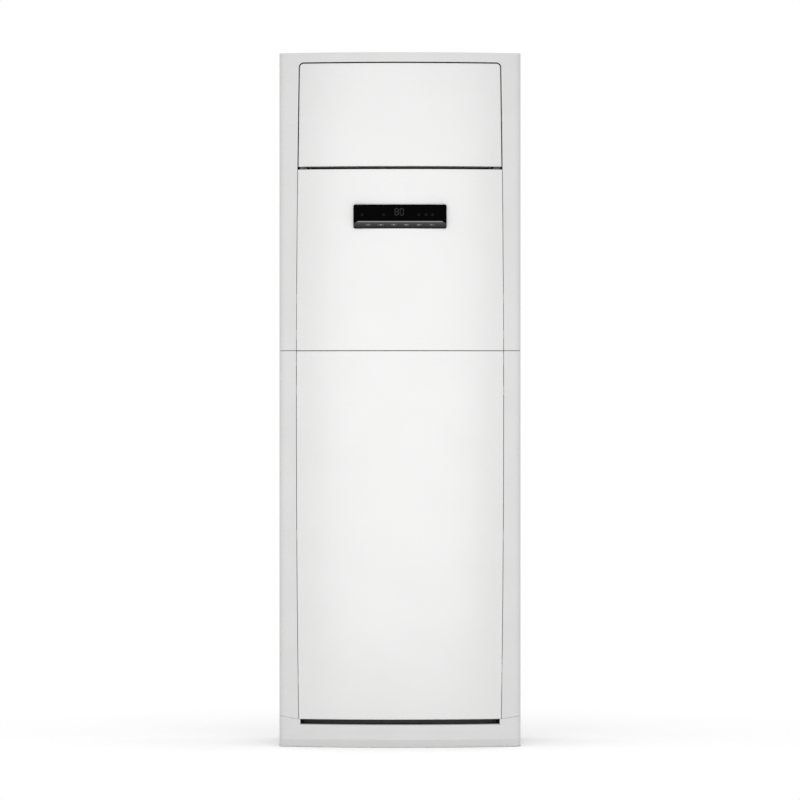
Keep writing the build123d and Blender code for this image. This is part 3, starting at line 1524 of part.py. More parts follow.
def coil_pipe(radius, route, hex_radius, thread_radius):
    """Copper pipe along a bent route, with a brass union at its end by the pipe hole."""
    end_x, end_y, end_z = route[-1]
    with BuildPart() as pipe:
        with BuildLine():
            path = FilletPolyline(*route, radius=pipe_bend)
        with BuildSketch(Plane(origin=path @ 0, z_dir=path % 0)):
            Circle(radius)
        sweep()
        with BuildSketch(Plane.XZ.offset(-end_y)):
            with Locations((end_x, end_z)):
                RegularPolygon(hex_radius, 6)
        extrude(amount=-union_hex)
        with BuildSketch(Plane.XZ.offset(-end_y - union_hex)):
            with Locations((end_x, end_z)):
                Circle(thread_radius)
        extrude(amount=-union_thread)
        with BuildSketch(Plane.XZ.offset(-end_y - union_hex - union_thread)):
            with Locations((end_x, end_z)):
                Circle(radius - pipe_wall)
        extrude(amount=union_thread, mode=Mode.SUBTRACT)
    return pipe.part


pipe_start_x = coil_half + coil_plate + seat_gap
gas_start_y, gas_start_z = coil_point(gas_share)
gas_route = [
    (pipe_start_x, gas_start_y, gas_start_z),
    (gas_x, gas_start_y, gas_start_z),
    (gas_x, gas_run_y, gas_start_z),
    (gas_x, gas_run_y, gas_z),
    (gas_x, pipe_end_y, gas_z),
]
save(coil_pipe(gas_radius, gas_route, gas_hex, gas_thread), "gas_pipe")

liquid_start_y, liquid_start_z = coil_point(liquid_share)
liquid_route = [
    (pipe_start_x, liquid_start_y, liquid_start_z),
    (liquid_run_x, liquid_start_y, liquid_start_z),
    (liquid_run_x, liquid_run_y, liquid_start_z),
    (liquid_run_x, liquid_run_y, liquid_jog_z),
    (liquid_x, liquid_run_y, liquid_jog_z - liquid_run_x + liquid_x),
    (liquid_x, liquid_run_y, liquid_z),
    (liquid_x, pipe_end_y, liquid_z),
]
save(coil_pipe(liquid_radius, liquid_route, liquid_hex, liquid_thread), "liquid_pipe")

# ---------------------------------------------------------------- electrical box
box_half = 160.0
box_front = front_y + 19.5
box_back = front_y + 79.5
box_low_z = pan_top_z + 100.0
box_top_z = beam_z - seat_gap
box_sheet = 1.5
terminal_width = 90.0
terminal_depth = 34.0
terminal_height = 26.0
terminal_count = 5
terminal_pitch = 15.0
terminal_slot = 11.0
terminal_slot_depth = 10.0
terminal_wall = 4.0
with BuildPart() as electrical_box:
    with BuildSketch(Plane.XZ.offset(-box_back)):
        with Locations((0, (box_low_z + box_top_z) / 2)):
            Rectangle(2 * box_half, box_top_z - box_low_z)
    extrude(amount=box_back - box_front)
    with BuildSketch(Plane.XZ.offset(-box_back + box_sheet)):
        with Locations((0, (box_low_z + box_top_z) / 2)):
            Rectangle(2 * (box_half - box_sheet), box_top_z - box_low_z - 2 * box_sheet)
    extrude(amount=box_back - box_front - 2 * box_sheet, mode=Mode.SUBTRACT)
save(electrical_box.part, "electrical_box")

with BuildPart() as terminal_block:
    with BuildSketch(Plane.XY.offset(box_low_z - seat_gap)):
        with Locations((box_half - terminal_width, (box_front + box_back) / 2)):
            Rectangle(terminal_width, terminal_depth)
    extrude(amount=-terminal_height)
    with BuildSketch(Plane.XY.offset(box_low_z - seat_gap - terminal_height)):
        with Locations((box_half - terminal_width, (box_front + box_back) / 2)):
            with GridLocations(terminal_pitch, 1, terminal_count, 1):
                Rectangle(terminal_slot, terminal_depth - 2 * terminal_wall)
    extrude(amount=terminal_slot_depth, mode=Mode.SUBTRACT)
save(terminal_block.part, "terminal_block")
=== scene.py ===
# %% [markdown]
# # A floor standing air conditioner
#
# This lesson dresses a tall white indoor unit: a curved front, an outlet door
# at the top, a black display with six keys, and intake grilles in the sides.
# The shapes come ready made as a fixed frame of separate pieces, in metres.
# What is left for this file is what eyes notice first: the finish of each
# surface, a few details too fine for the frame, the light and the camera.

# %% Load the frame
import json
import math

import bmesh
import bpy
from mathutils import Matrix, Vector


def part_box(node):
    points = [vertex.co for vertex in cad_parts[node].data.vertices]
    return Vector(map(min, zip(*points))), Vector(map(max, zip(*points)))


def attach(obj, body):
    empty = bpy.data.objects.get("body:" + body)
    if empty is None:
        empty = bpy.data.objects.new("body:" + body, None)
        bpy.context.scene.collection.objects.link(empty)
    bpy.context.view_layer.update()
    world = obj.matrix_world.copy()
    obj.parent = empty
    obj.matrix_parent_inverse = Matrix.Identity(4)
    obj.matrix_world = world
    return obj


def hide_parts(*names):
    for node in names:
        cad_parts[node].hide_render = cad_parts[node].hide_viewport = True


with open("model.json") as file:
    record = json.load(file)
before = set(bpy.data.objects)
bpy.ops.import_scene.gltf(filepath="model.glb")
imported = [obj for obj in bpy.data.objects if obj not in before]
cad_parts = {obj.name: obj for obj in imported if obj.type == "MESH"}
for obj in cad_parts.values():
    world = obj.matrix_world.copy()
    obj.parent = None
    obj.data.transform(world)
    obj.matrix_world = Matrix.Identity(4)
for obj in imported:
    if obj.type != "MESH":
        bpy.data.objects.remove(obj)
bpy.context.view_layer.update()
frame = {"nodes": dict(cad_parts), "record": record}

parts = frame["nodes"]

# %% [markdown]
# ## Nodes without the wiring
#
# Every finish below is a small net of shader nodes. Adding nodes and links one
# by one repeats itself, so a few helpers take that up. An input gets either a
# fixed value or the outlet of another node, and the helper tells them apart.
# Places come in metres and stay fixed to the object, so no pattern slides when
# the camera or a joint moves.

# %% Helpers for nodes
def shader_of(finish):
    """The shader that a finish is built on."""
    return finish.node_tree.nodes["Principled BSDF"]


def new_finish(name, roughness, metallic=0.0, coat=0.0, specular=0.5):
    """Material with the numbers that are the same all over it."""
    finish = bpy.data.materials.new(name)
    finish.use_nodes = True
    shader = shader_of(finish)
    shader.inputs["Roughness"].default_value = roughness
    shader.inputs["Metallic"].default_value = metallic
    shader.inputs["Coat Weight"].default_value = coat
    shader.inputs["Specular IOR Level"].default_value = specular
    return finish


def fill(finish, node, inputs):
    """Give each input of a node a fixed value or another node's outlet."""
    for socket, value in inputs.items():
        if isinstance(value, bpy.types.NodeSocket):
            finish.node_tree.links.new(value, node.inputs[socket])
        else:
            node.inputs[socket].default_value = value
    return node


def add_node(finish, kind, inputs):
    """New node of a kind with its inputs filled."""
    return fill(finish, finish.node_tree.nodes.new("ShaderNode" + kind), inputs)


def lead(finish, outlet, socket="Base Color"):
    """Lead an outlet to an input of the finish's shader."""
    finish.node_tree.links.new(outlet, shader_of(finish).inputs[socket])


def place_on_object(finish):
    """Outlet with the place in metres that stays with the piece."""
    return add_node(finish, "TexCoord", {}).outputs["Object"]


print("node helpers ready")

# %% [markdown]
# ## A place to start every finish
#
# A real surface is never one number. Moulded plastic has faint patches where
# it cooled, powder coat has a skin like orange peel, and zinc grows crystals.
# So four helpers give any finish a noise that is measured in metres, a tint
# that wanders between two near colours, a relief that only bends the light,
# and a gloss that differs a little from place to place.

# %% Helpers for patterns
def spots(finish, size, detail=3.0, stretch=(1, 1, 1)):
    """Soft noise whose spots are about as big as a size in metres."""
    mapping = add_node(finish, "Mapping", {"Vector": place_on_object(finish), "Scale": stretch})
    noise = add_node(finish, "TexNoise", {
        "Vector": mapping.outputs["Vector"], "Scale": 1 / size, "Detail": detail,
    })
    return noise.outputs["Fac"]


def tint(finish, pattern, dark, light, start=0.35, end=0.65):
    """Let the colour wander between two near colours along a pattern."""
    ramp = add_node(finish, "ValToRGB", {"Fac": pattern})
    low, high = ramp.color_ramp.elements
    low.position, high.position = start, end
    low.color, high.color = (*dark, 1), (*light, 1)
    lead(finish, ramp.outputs["Color"])
    return ramp.outputs["Color"]


def relief(finish, pattern, depth, strength=0.3):
    """Bend the light as if the pattern were raised by a depth in metres."""
    bump = add_node(finish, "Bump", {
        "Height": pattern, "Distance": depth, "Strength": strength,
    })
    normal = shader_of(finish).inputs["Normal"]
    if normal.is_linked:
        fill(finish, bump, {"Normal": normal.links[0].from_socket})
    lead(finish, bump.outputs["Normal"], "Normal")


def uneven_gloss(finish, pattern, low, high):
    """Let the roughness wander between two values along a pattern."""
    span = add_node(finish, "MapRange", {"Value": pattern, "To Min": low, "To Max": high})
    lead(finish, span.outputs["Result"], "Roughness")


print("pattern helpers ready")

# %% [markdown]
# ## The white front
#
# The two fixed panels and the outlet door are moulded in one bright white with
# a satin skin. It could be plain white with a little gloss, but a large plain
# face looks like paper. So the skin gets patches a hand wide that differ by
# about two parts in a hundred, and a grain of half a millimetre that breaks
# the reflections up.

# %% White panels and door
def panel_white():
    finish = new_finish("satin_white_panel", roughness=0.28, coat=1.0)
    tint(finish, spots(finish, size=0.16), (0.516, 0.516, 0.514), (0.528, 0.528, 0.526))
    uneven_gloss(finish, spots(finish, size=0.05), low=0.27, high=0.31)
    relief(finish, spots(finish, size=0.0006, detail=1.0), depth=0.00002, strength=0.25)
    shader_of(finish).inputs["Coat Roughness"].default_value = 0.27
    return finish


finishes = {"front_white": panel_white()}
print("front:", finishes["front_white"].name)

# %% [markdown]
# ## The frame round the panels
#
# The corner columns, the top strip and the foot are moulded in a second white.
# Beside the panels they look a shade greyer and less shiny, so they get their
# own finish and not a copy: a lower brightness, a rougher skin and a slightly
# coarser grain. That step in tone is what makes the front read as an inlay.

# %% Frame white
def frame_white(name):
    finish = new_finish(name, roughness=0.48, coat=0.05)
    tint(finish, spots(finish, size=0.12), (0.498, 0.498, 0.496), (0.514, 0.514, 0.512))
    uneven_gloss(finish, spots(finish, size=0.04), low=0.44, high=0.54)
    relief(finish, spots(finish, size=0.0008, detail=1.5), depth=0.00004)
    return finish


finishes["frame_white"] = frame_white("matt_white_frame")
print("frame:", finishes["frame_white"].name)

# %% [markdown]
# ## Powder coated steel
#
# The sides and the back are folded sheet with powder coat. Powder flows a
# little as it bakes and sets into a skin like orange peel, with bumps two or
# three millimetres across. Two noises make it: a soft one for the peel and a
# fine one for the grit of the powder.

# %% Powder coat
def powder_coat():
    finish = new_finish("white_powder_coat", roughness=0.42)
    tint(finish, spots(finish, size=0.2), (0.55, 0.55, 0.547), (0.57, 0.57, 0.567))
    relief(finish, spots(finish, size=0.0026, detail=0.5), depth=0.00012, strength=0.35)
    relief(finish, spots(finish, size=0.0005, detail=1.0), depth=0.00003, strength=0.2)
    return finish


finishes["painted_steel"] = powder_coat()
print("sides and back:", finishes["painted_steel"].name)

# %% [markdown]
# ## Bare metals
#
# Inside, the sheet is galvanised: zinc freezes in flat crystals about a
# centimetre wide, each with its own shine. A Voronoi pattern gives every
# crystal one random grey and one random gloss. Screws, shafts and motor cans
# are brighter and finer. Shafts and cans also carry turning marks, which a
# noise stretched along one axis imitates.

# %% Galvanised sheet
def galvanised_sheet(crystal_size=0.011):
    finish = new_finish("galvanised_spangle", roughness=0.4, metallic=1.0)
    crystals = add_node(finish, "TexVoronoi", {
        "Vector": place_on_object(finish), "Scale": 1 / crystal_size,
    })
    chance = add_node(finish, "SeparateColor", {"Color": crystals.outputs["Color"]}).outputs
    tint(finish, chance["Red"], (0.50, 0.51, 0.52), (0.64, 0.65, 0.66), start=0.0, end=1.0)
    uneven_gloss(finish, chance["Green"], low=0.3, high=0.5)
    return finish


finishes["galvanised_steel"] = galvanised_sheet()
print("inner sheet:", finishes["galvanised_steel"].name)

# %% Screws, shafts and motor cans
def turned_metal(name, dark, light, roughness, stretch=(1, 1, 1)):
    finish = new_finish(name, roughness=roughness, metallic=1.0)
    marks = spots(finish, size=0.0008, detail=2.0, stretch=stretch)
    tint(finish, marks, dark, light, start=0.3, end=0.7)
    uneven_gloss(finish, marks, low=roughness - 0.06, high=roughness + 0.08)
    relief(finish, marks, depth=0.00002)
    return finish


finishes["zinc_screws"] = turned_metal(
    "zinc_plate", (0.62, 0.62, 0.60), (0.72, 0.72, 0.70), roughness=0.28)
finishes["shaft_steel"] = turned_metal(
    "ground_shaft", (0.50, 0.50, 0.51), (0.62, 0.62, 0.63), roughness=0.22, stretch=(1, 0.05, 1))
finishes["motor_metal"] = turned_metal(
    "plated_motor_can", (0.44, 0.45, 0.46), (0.53, 0.54, 0.55), roughness=0.36, stretch=(0.2, 1, 1))
print("turned metals:", finishes["zinc_screws"].name, finishes["shaft_steel"].name)

# %% [markdown]
# ## Coil and pipes
#
# The cooling coil is bare aluminium with copper return bends standing out at
# its left end. The pipes are copper that ends in brass unions. Both change
# colour at one fixed place, so the finish asks where it is on the object: the
# bends lie left of the end plate, and the unions lie behind a set depth.

# %% A colour that changes at a place
def coordinates(finish):
    """The place on the object as three outlets, X, Y and Z."""
    return add_node(finish, "SeparateXYZ", {"Vector": place_on_object(finish)}).outputs


def reckon(finish, operation, *values):
    """Outlet of one step of arithmetic on fixed values and outlets."""
    step = finish.node_tree.nodes.new("ShaderNodeMath")
    step.operation = operation
    return fill(finish, step, dict(enumerate(values))).outputs["Value"]


def mixed_colour(finish, share, below, above):
    """Outlet of a colour between two others, where a share of one gives the second."""
    mix = finish.node_tree.nodes.new("ShaderNodeMix")
    mix.data_type = "RGBA"
    return fill(finish, mix, {"Factor": share, "A": below, "B": above}).outputs["Result"]


def change_at(finish, axis, edge, below, above):
    """Base colour that steps from one tint to another at a coordinate in metres."""
    past = reckon(finish, "GREATER_THAN", coordinates(finish)[axis], edge)
    lead(finish, mixed_colour(finish, past, below, above))


union_length = 0.0235
union_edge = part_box("gas_pipe")[1].y - union_length
bend_edge = -0.2322
print("bends left of", bend_edge, "unions behind", round(union_edge, 4))

# %% Aluminium fins and copper
def coil_finish():
    finish = new_finish("bare_coil", roughness=0.36, metallic=1.0)
    rolled = spots(finish, size=0.002, detail=2.0, stretch=(1, 1, 0.05))
    copper = tint(finish, spots(finish, size=0.01), (0.66, 0.33, 0.20), (0.78, 0.42, 0.27))
    fins = tint(finish, rolled, (0.66, 0.68, 0.70), (0.76, 0.78, 0.80))
    change_at(finish, "X", bend_edge, below=copper, above=fins)
    return finish


def pipe_finish():
    finish = new_finish("drawn_copper", roughness=0.27, metallic=1.0)
    drawn = spots(finish, size=0.006)
    copper = tint(finish, drawn, (0.70, 0.36, 0.23), (0.77, 0.42, 0.28))
    brass = tint(finish, drawn, (0.71, 0.54, 0.25), (0.77, 0.60, 0.29))
    change_at(finish, "Y", union_edge, below=copper, above=brass)
    uneven_gloss(finish, drawn, low=0.24, high=0.31)
    return finish


finishes["coil_aluminium"] = coil_finish()
finishes["pipe_copper"] = pipe_finish()
print("coil and pipes done")

# %% [markdown]
# ## The dark slot over the foot
#
# Between the foot and the lower panel runs a slot in the panel's shade. The
# foot is one piece with the slot's ledge and back wall, so its white finish
# turns black there as painted shade: above the height where the lip has rolled
# in, and between the two ends of the slot. A short fade softens its lower edge.

# %% Foot with painted shade in the slot
def foot_with_painted_slot_shade(slot_low, slot_half_width, fade):
    finish = frame_white("matt_white_foot_painted_shade")
    white = shader_of(finish).inputs["Base Color"].links[0].from_socket
    place = coordinates(finish)
    aside = reckon(finish, "ABSOLUTE", place["X"])
    between = reckon(finish, "LESS_THAN", aside, slot_half_width)
    above = add_node(finish, "MapRange", {
        "Value": place["Z"], "From Min": slot_low - fade, "From Max": slot_low,
    }).outputs["Result"]
    inside = reckon(finish, "MULTIPLY", between, above)
    # Painted shade: the slot turns black where it lies in the shadow of the panel.
    painted_slot_shade = (0.012, 0.012, 0.012, 1)
    lead(finish, mixed_colour(finish, inside, white, painted_slot_shade))
    return finish


foot_white = foot_with_painted_slot_shade(slot_low=0.0598, slot_half_width=0.2515, fade=0.0035)
print("foot:", foot_white.name)

# %% [markdown]
# ## Plastics inside
#
# Ducts, louvers, links, the fan wheel, the terminal block and the rubber
# grommet are plain working materials. They share one recipe, with their own
# colour, gloss and grain: a cheap and honest way, since real ones also come
# from the same kind of mould. The table says which finish goes to which slot.

# %% Working plastics
def moulded(name, dark, light, roughness, grain=0.0007, depth=0.00004):
    finish = new_finish(name, roughness=roughness)
    tint(finish, spots(finish, size=0.06), dark, light)
    uneven_gloss(finish, spots(finish, size=0.02), low=roughness - 0.05, high=roughness + 0.06)
    relief(finish, spots(finish, size=grain, detail=1.0), depth=depth)
    return finish


working_plastics = {
    "duct_plastic": ("duct_plastic", (0.50, 0.50, 0.49), (0.54, 0.54, 0.53), 0.6),
    "louver_white": ("louver_plastic", (0.57, 0.57, 0.565), (0.60, 0.60, 0.595), 0.42),
    "link_plastic": ("acetal", (0.46, 0.46, 0.43), (0.52, 0.52, 0.49), 0.38),
    "fan_plastic": ("fan_plastic", (0.018, 0.019, 0.021), (0.028, 0.029, 0.032), 0.5),
    "terminal_plastic": ("terminal_plastic", (0.012, 0.012, 0.012), (0.02, 0.02, 0.02), 0.4),
    "grommet_rubber": ("black_rubber", (0.006, 0.006, 0.006), (0.012, 0.012, 0.012), 0.75),
}
for slot_name, (name, dark, light, roughness) in working_plastics.items():
    finishes[slot_name] = moulded(name, dark, light, roughness)
print("plastics:", len(finishes), "finishes so far")

# %% [markdown]
# ## The washable filter
#
# Behind each grille is a net of fine thread in a dark frame. Knots and holes
# are too small for geometry, so two crossed waves draw the threads. The same
# crossing also drives the relief, and the threads catch the light. Blender's
# wave texture counts twenty radians to a unit, hence the sum for its scale.

# %% Filter net
def filter_net(thread_spacing=0.0018, radians_per_unit=20):
    finish = new_finish("filter_net", roughness=0.6)
    place = place_on_object(finish)
    threads = []
    for direction in ("Y", "Z"):
        wave = add_node(finish, "TexWave", {
            "Vector": place, "Scale": 1 / thread_spacing / radians_per_unit * math.tau,
        })
        wave.bands_direction = direction
        threads.append(wave.outputs["Fac"])
    crossing = reckon(finish, "MAXIMUM", *threads)
    tint(finish, crossing, (0.012, 0.013, 0.015), (0.085, 0.09, 0.10), start=0.45, end=0.9)
    relief(finish, crossing, depth=0.0003, strength=0.6)
    return finish


finishes["filter_mesh"] = filter_net()
print("filter:", finishes["filter_mesh"].name)

# %% [markdown]
# ## The display block
#
# The block in the middle is a smoked window over a sloping key bar. The window
# is near black and shiny. The bar below it is dark grey, darkest at its lower
# edge: partly the bar's own smoked tone, partly a painted reflection. Its upper
# edge carries a painted highlight, a thin bright line where the smoked plastic
# turns over. One gradient along the height, fixed to the object, paints it all,
# and two slanted lines cut its upper corners off.

# %% Greys along the key bar, with painted reflection and highlight
bar_height, bar_half_top = 0.0185, 0.1045
corner_width, corner_height = 0.0135, 0.007
corner_lean = corner_width / corner_height
gradient_height, bluish = 0.022, 1.03
bar_low_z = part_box("display_fascia")[0].z
bar_top_z = bar_low_z + bar_height
print("key bar from", round(bar_low_z, 4), "to", round(bar_top_z, 4))


def bar_gradient(finish, stops, black):
    """Grey along the height of the key bar, given as height and grey, and black around it. The
    greys hold a painted reflection and a painted highlight.
    """
    place = coordinates(finish)
    share = add_node(finish, "MapRange", {
        "Value": place["Z"], "From Min": bar_low_z, "From Max": bar_low_z + gradient_height,
    })
    ramp = add_node(finish, "ValToRGB", {"Fac": share.outputs["Result"]})
    points = ramp.color_ramp.elements
    while len(points) < len(stops):
        points.new(0.5)
    for point, (z, grey) in zip(points, stops):
        point.position = (z - bar_low_z) / gradient_height
        point.color = (grey, grey, grey * bluish, 1)
    aside = reckon(finish, "ABSOLUTE", place["X"])
    leaning = reckon(finish, "MULTIPLY_ADD", place["Z"], corner_lean, aside)
    outside = reckon(finish, "GREATER_THAN", leaning, bar_half_top + corner_lean * bar_top_z)
    lead(finish, mixed_colour(finish, outside, ramp.outputs["Color"], (black, black, black, 1)))


# %% Smoked window and keys
def smoked_window(window_black=0.0008, painted_highlight_grey=0.22):
    finish = new_finish("smoked_window", roughness=0.08, specular=0.006)
    # The bar's greys are partly its own smoked tone, partly a painted reflection.
    bar_gradient(finish, [
        (bar_low_z, 0.012),
        (bar_low_z + 0.004, 0.022),
        (bar_top_z - 0.0034, 0.055),
        # Painted highlight: a thin bright line along the bar's upper edge.
        (bar_top_z - 0.0020, painted_highlight_grey),
        (bar_top_z - 0.0006, painted_highlight_grey),
        (bar_top_z - 0.0002, window_black),
    ], window_black)
    uneven_gloss(finish, spots(finish, size=0.03), low=0.06, high=0.11)
    return finish


def key_grey():
    finish = new_finish("key_grey", roughness=0.35, specular=0.3)
    tint(finish, spots(finish, size=0.004), (0.035, 0.035, 0.037), (0.05, 0.05, 0.052))
    relief(finish, spots(finish, size=0.0004, detail=1.0), depth=0.00002, strength=0.2)
    return finish


finishes["black_gloss"] = smoked_window()
finishes["key_plastic"] = key_grey()
print("display:", finishes["black_gloss"].name)

# %% [markdown]
# ## The display board
#
# Behind the window sits a circuit board under green lacquer. Its tracks can't
# be seen from outside, so a brick pattern is enough: the bricks are lacquer
# over bare board and the joints are lacquer over copper.

# %% Circuit board
def board_green():
    finish = new_finish("board_green", roughness=0.35, coat=0.3)
    tracks = add_node(finish, "TexBrick", {
        "Vector": place_on_object(finish),
        "Scale": 90.0,
        "Mortar Size": 0.03,
        "Color1": (0.010, 0.075, 0.030, 1),
        "Color2": (0.012, 0.090, 0.036, 1),
        "Mortar": (0.030, 0.160, 0.060, 1),
    })
    lead(finish, tracks.outputs["Color"])
    return finish


finishes["circuit_board"] = board_green()
print("board:", finishes["circuit_board"].name)

# %% [markdown]
# ## Give every piece its finish
#
# The record that travels with the frame names a finish slot for each piece, so
# one loop dresses them all. Only the foot has a finish of its own. A piece
# whose slot has no finish stops the lesson here, where it is easy to see.

# %% Dress the pieces
for entry in frame["record"]["subparts"]:
    piece = parts[entry["node"]]
    finish = foot_white if entry["node"] == "plinth" else finishes[entry["material_slot"]]
    if not piece.material_slots:
        piece.data.materials.append(finish)
    for slot in piece.material_slots:
        slot.material = finish

# %% [markdown]
# ## Small meshes by hand
#
# The last details are made in mesh code. Digits, marks and a sheet of foam
# start as flat outlines that are filled and given a thickness. One helper does
# that, and a matrix puts them on their face. Two shorter helpers turn a mesh
# in the making into a finished one, and put an object into the scene.

# %% Helpers for new objects
def mesh_from(shape, name):
    """Finished mesh out of a mesh in the making."""
    mesh = bpy.data.meshes.new(name)
    shape.to_mesh(mesh)
    shape.free()
    return mesh


def into_scene(name, data):
    """New object in the scene that holds a mesh, a lamp or a camera."""
    made = bpy.data.objects.new(name, data)
    bpy.context.scene.collection.objects.link(made)
    return made


print("object helpers ready")

# %% Helpers for thin marks
def facing_front(place, tilt=0.0):
    """Matrix from a drawing in x and y to a face that looks forward at a place."""
    return Matrix.Translation(place) @ Matrix.Rotation(math.radians(90) + tilt, 4, "X")


def thin_marks(name, outlines, face, thickness, finish):
    """One mesh of flat marks with a thickness, placed by a matrix."""
    shape = bmesh.new()
    for outline in outlines:
        corners = [shape.verts.new((x, y, 0)) for x, y in outline]
        flat = shape.faces.new(corners)
        raised = bmesh.ops.extrude_face_region(shape, geom=[flat])
        lifted = [v for v in raised["geom"] if isinstance(v, bmesh.types.BMVert)]
        bmesh.ops.translate(shape, verts=lifted, vec=(0, 0, thickness))
    bmesh.ops.recalc_face_normals(shape, faces=shape.faces)
    shape.transform(face)
    mesh = mesh_from(shape, name)
    mesh.materials.append(finish)
    piece = into_scene(name, mesh)
    return piece


print("mark helpers ready")

# %% [markdown]
# ## Digits in the window
#
# The temperature is shown by two digits of seven bars. Switched off, they are
# only a shade lighter than the window. Each bar is a long hexagon; a table of
# which bars are on spells the number. They lie in the window's face, sunk by
# half their thickness. Five little signs beside them, of three bars that get
# shorter upwards, are fainter still.

# %% Two seven bar digits
def bar(x, y, length, thick, upright=False):
    """Long hexagon round a middle point."""
    half, cut = length / 2, thick / 2
    points = [(-half, 0), (-half + cut, cut), (half - cut, cut),
              (half, 0), (half - cut, -cut), (-half + cut, -cut)]
    if upright:
        points = [(-py, px) for px, py in points]
    return [(x + px, y + py) for px, py in points]


def digit(x, lit, width=0.0082, height=0.0165, thick=0.0017, gap=0.0012):
    """The lit bars of one digit, with its middle at x on the line of the digits."""
    w, h = width / 2, height / 4
    places = {
        "top": (0, 2 * h, width, False),
        "middle": (0, 0, width, False),
        "bottom": (0, -2 * h, width, False),
        "upper_left": (-w, h, 2 * h, True),
        "upper_right": (w, h, 2 * h, True),
        "lower_left": (-w, -h, 2 * h, True),
        "lower_right": (w, -h, 2 * h, True),
    }
    return [bar(x + px, py, length - gap, thick, upright)
            for name, (px, py, length, upright) in places.items() if name in lit]


all_bars = {"top", "middle", "bottom", "upper_left", "upper_right", "lower_left", "lower_right"}
digit_outlines = digit(-0.0085, all_bars) + digit(0.0045, all_bars - {"middle"})
print(len(digit_outlines), "bars in two digits")

# %% Place the digits and the unlit signs
window_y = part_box("display_fascia")[0].y
digits_z, mark_sink, mark_thickness = 1.348, 0.00005, 0.0001
window_face = facing_front((0, window_y + mark_sink, digits_z))

dim_glow = new_finish("unlit_digit", roughness=0.3, specular=0.1)
tint(dim_glow, spots(dim_glow, size=0.003), (0.019, 0.019, 0.020), (0.025, 0.025, 0.026))
faint_glow = new_finish("unlit_sign", roughness=0.3, specular=0.1)
tint(faint_glow, spots(faint_glow, size=0.003), (0.0018, 0.0018, 0.002), (0.0026, 0.0026, 0.0028))

sign_places = (-0.0954, -0.0411, 0.0472, 0.0655, 0.0816)
lowest_row, row_step = 0.0094, 0.0024
row_length, row_shorter, row_thick = 0.008, 0.0016, 0.0011
sign_outlines = [
    bar(x, row_step * row - lowest_row, row_length - row_shorter * row, row_thick)
    for x in sign_places for row in range(3)
]

digits = thin_marks(
    "window_digits", digit_outlines, window_face, mark_thickness, dim_glow)
signs = thin_marks(
    "window_signs", sign_outlines, window_face, mark_thickness, faint_glow)
for piece in (digits, signs):
    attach(piece, "cabinet")
print("digits", len(digits.data.polygons), "faces, signs", len(signs.data.polygons), "faces")

# %% [markdown]
# ## Marks on the keys
#
# Each key carries a small printed mark: a ring with a bar for power, two
# arrows, two groups of bars and an open ring. They lie on the sloping bar, so
# their matrix tilts with it: the bar leans back six millimetres over its
# height. A mark rides on its own key and goes in with it.

# %% Outlines of the key marks
bar_lean = 0.006
bar_tilt = math.atan2(bar_lean, bar_top_z - bar_low_z)


def arc_strip(radius, thick, start, end, steps=18):
    """Part of a ring as one outline, between two angles in degrees."""
    angles = [math.radians(start + (end - start) * i / steps) for i in range(steps + 1)]
    outer = [(radius * math.cos(a), radius * math.sin(a)) for a in angles]
    inner = [(x * (1 - thick / radius), y * (1 - thick / radius)) for x, y in reversed(outer)]
    return outer + inner


power_bar = [(-0.0002, 0.0003), (0.0002, 0.0003), (0.0002, 0.0018), (-0.0002, 0.0018)]
key_marks = {
    1: [arc_strip(0.0016, 0.0004, 115, 425), power_bar],
    2: [[(-0.0019, -0.0011), (0.0019, -0.0011), (0, 0.0016)]],
    3: [[(-0.0019, 0.0012), (0, -0.0015), (0.0019, 0.0012)]],
    4: [bar(0, y, length=0.0052, thick=0.0006) for y in (0.0009, -0.0009)],
    5: [bar(-0.001, y, length=0.0040, thick=0.0005) for y in (-0.0014, 0, 0.0014)],
    6: [arc_strip(0.0016, 0.0004, 20, 340), bar(0.0002, 0, length=0.0018, thick=0.0004)],
}
print("marks for", len(key_marks), "keys, tilt", round(math.degrees(bar_tilt), 1), "degrees")

# %% Print the marks on the keys
print_white = new_finish("printed_mark", roughness=0.5)
tint(print_white, spots(print_white, size=0.0008), (0.26, 0.26, 0.26), (0.34, 0.34, 0.34))
print_thickness, flat_within = 0.00006, 0.00002
outward = Vector((0, -math.cos(bar_tilt), -math.sin(bar_tilt)))
for number, outlines in key_marks.items():
    corners = [v.co for v in parts[f"key_{number}"].data.vertices]
    reach = max(corner.dot(outward) for corner in corners)
    front_corners = [corner for corner in corners if corner.dot(outward) > reach - flat_within]
    centre = sum(front_corners, Vector()) / len(front_corners)
    face = facing_front(centre, bar_tilt)
    mark = thin_marks(
        f"key_mark_{number}", outlines, face, print_thickness, print_white)
    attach(mark, f"key_{number}")
print("key marks printed")

# %% [markdown]
# ## Screws with a cross in their heads
#
# The frame's back screws are plain discs on pins. Seen from behind they are
# the only fasteners, so they are made again in full: a pan head with a rolled
# rim and a cross cut into it. The head is spun from a profile, then the cross
# is cut away with a boolean. One screw is made and copied to every place,
# each turned a little further, as screws are when they are tight.

# %% Spin one screw
def spun_mesh(profile, steps):
    """Solid of revolution about the local Z axis from a closed half profile."""
    shape = bmesh.new()
    rim = [shape.verts.new((r, 0, z)) for r, z in profile]
    edges = [shape.edges.new(pair) for pair in zip(rim, rim[1:])]
    bmesh.ops.spin(shape, geom=rim + edges, cent=(0, 0, 0), axis=(0, 0, 1),
                   angle=math.tau, steps=steps, use_merge=True)
    bmesh.ops.remove_doubles(shape, verts=shape.verts, dist=1e-6)
    bmesh.ops.recalc_face_normals(shape, faces=shape.faces)
    return mesh_from(shape, "spun")


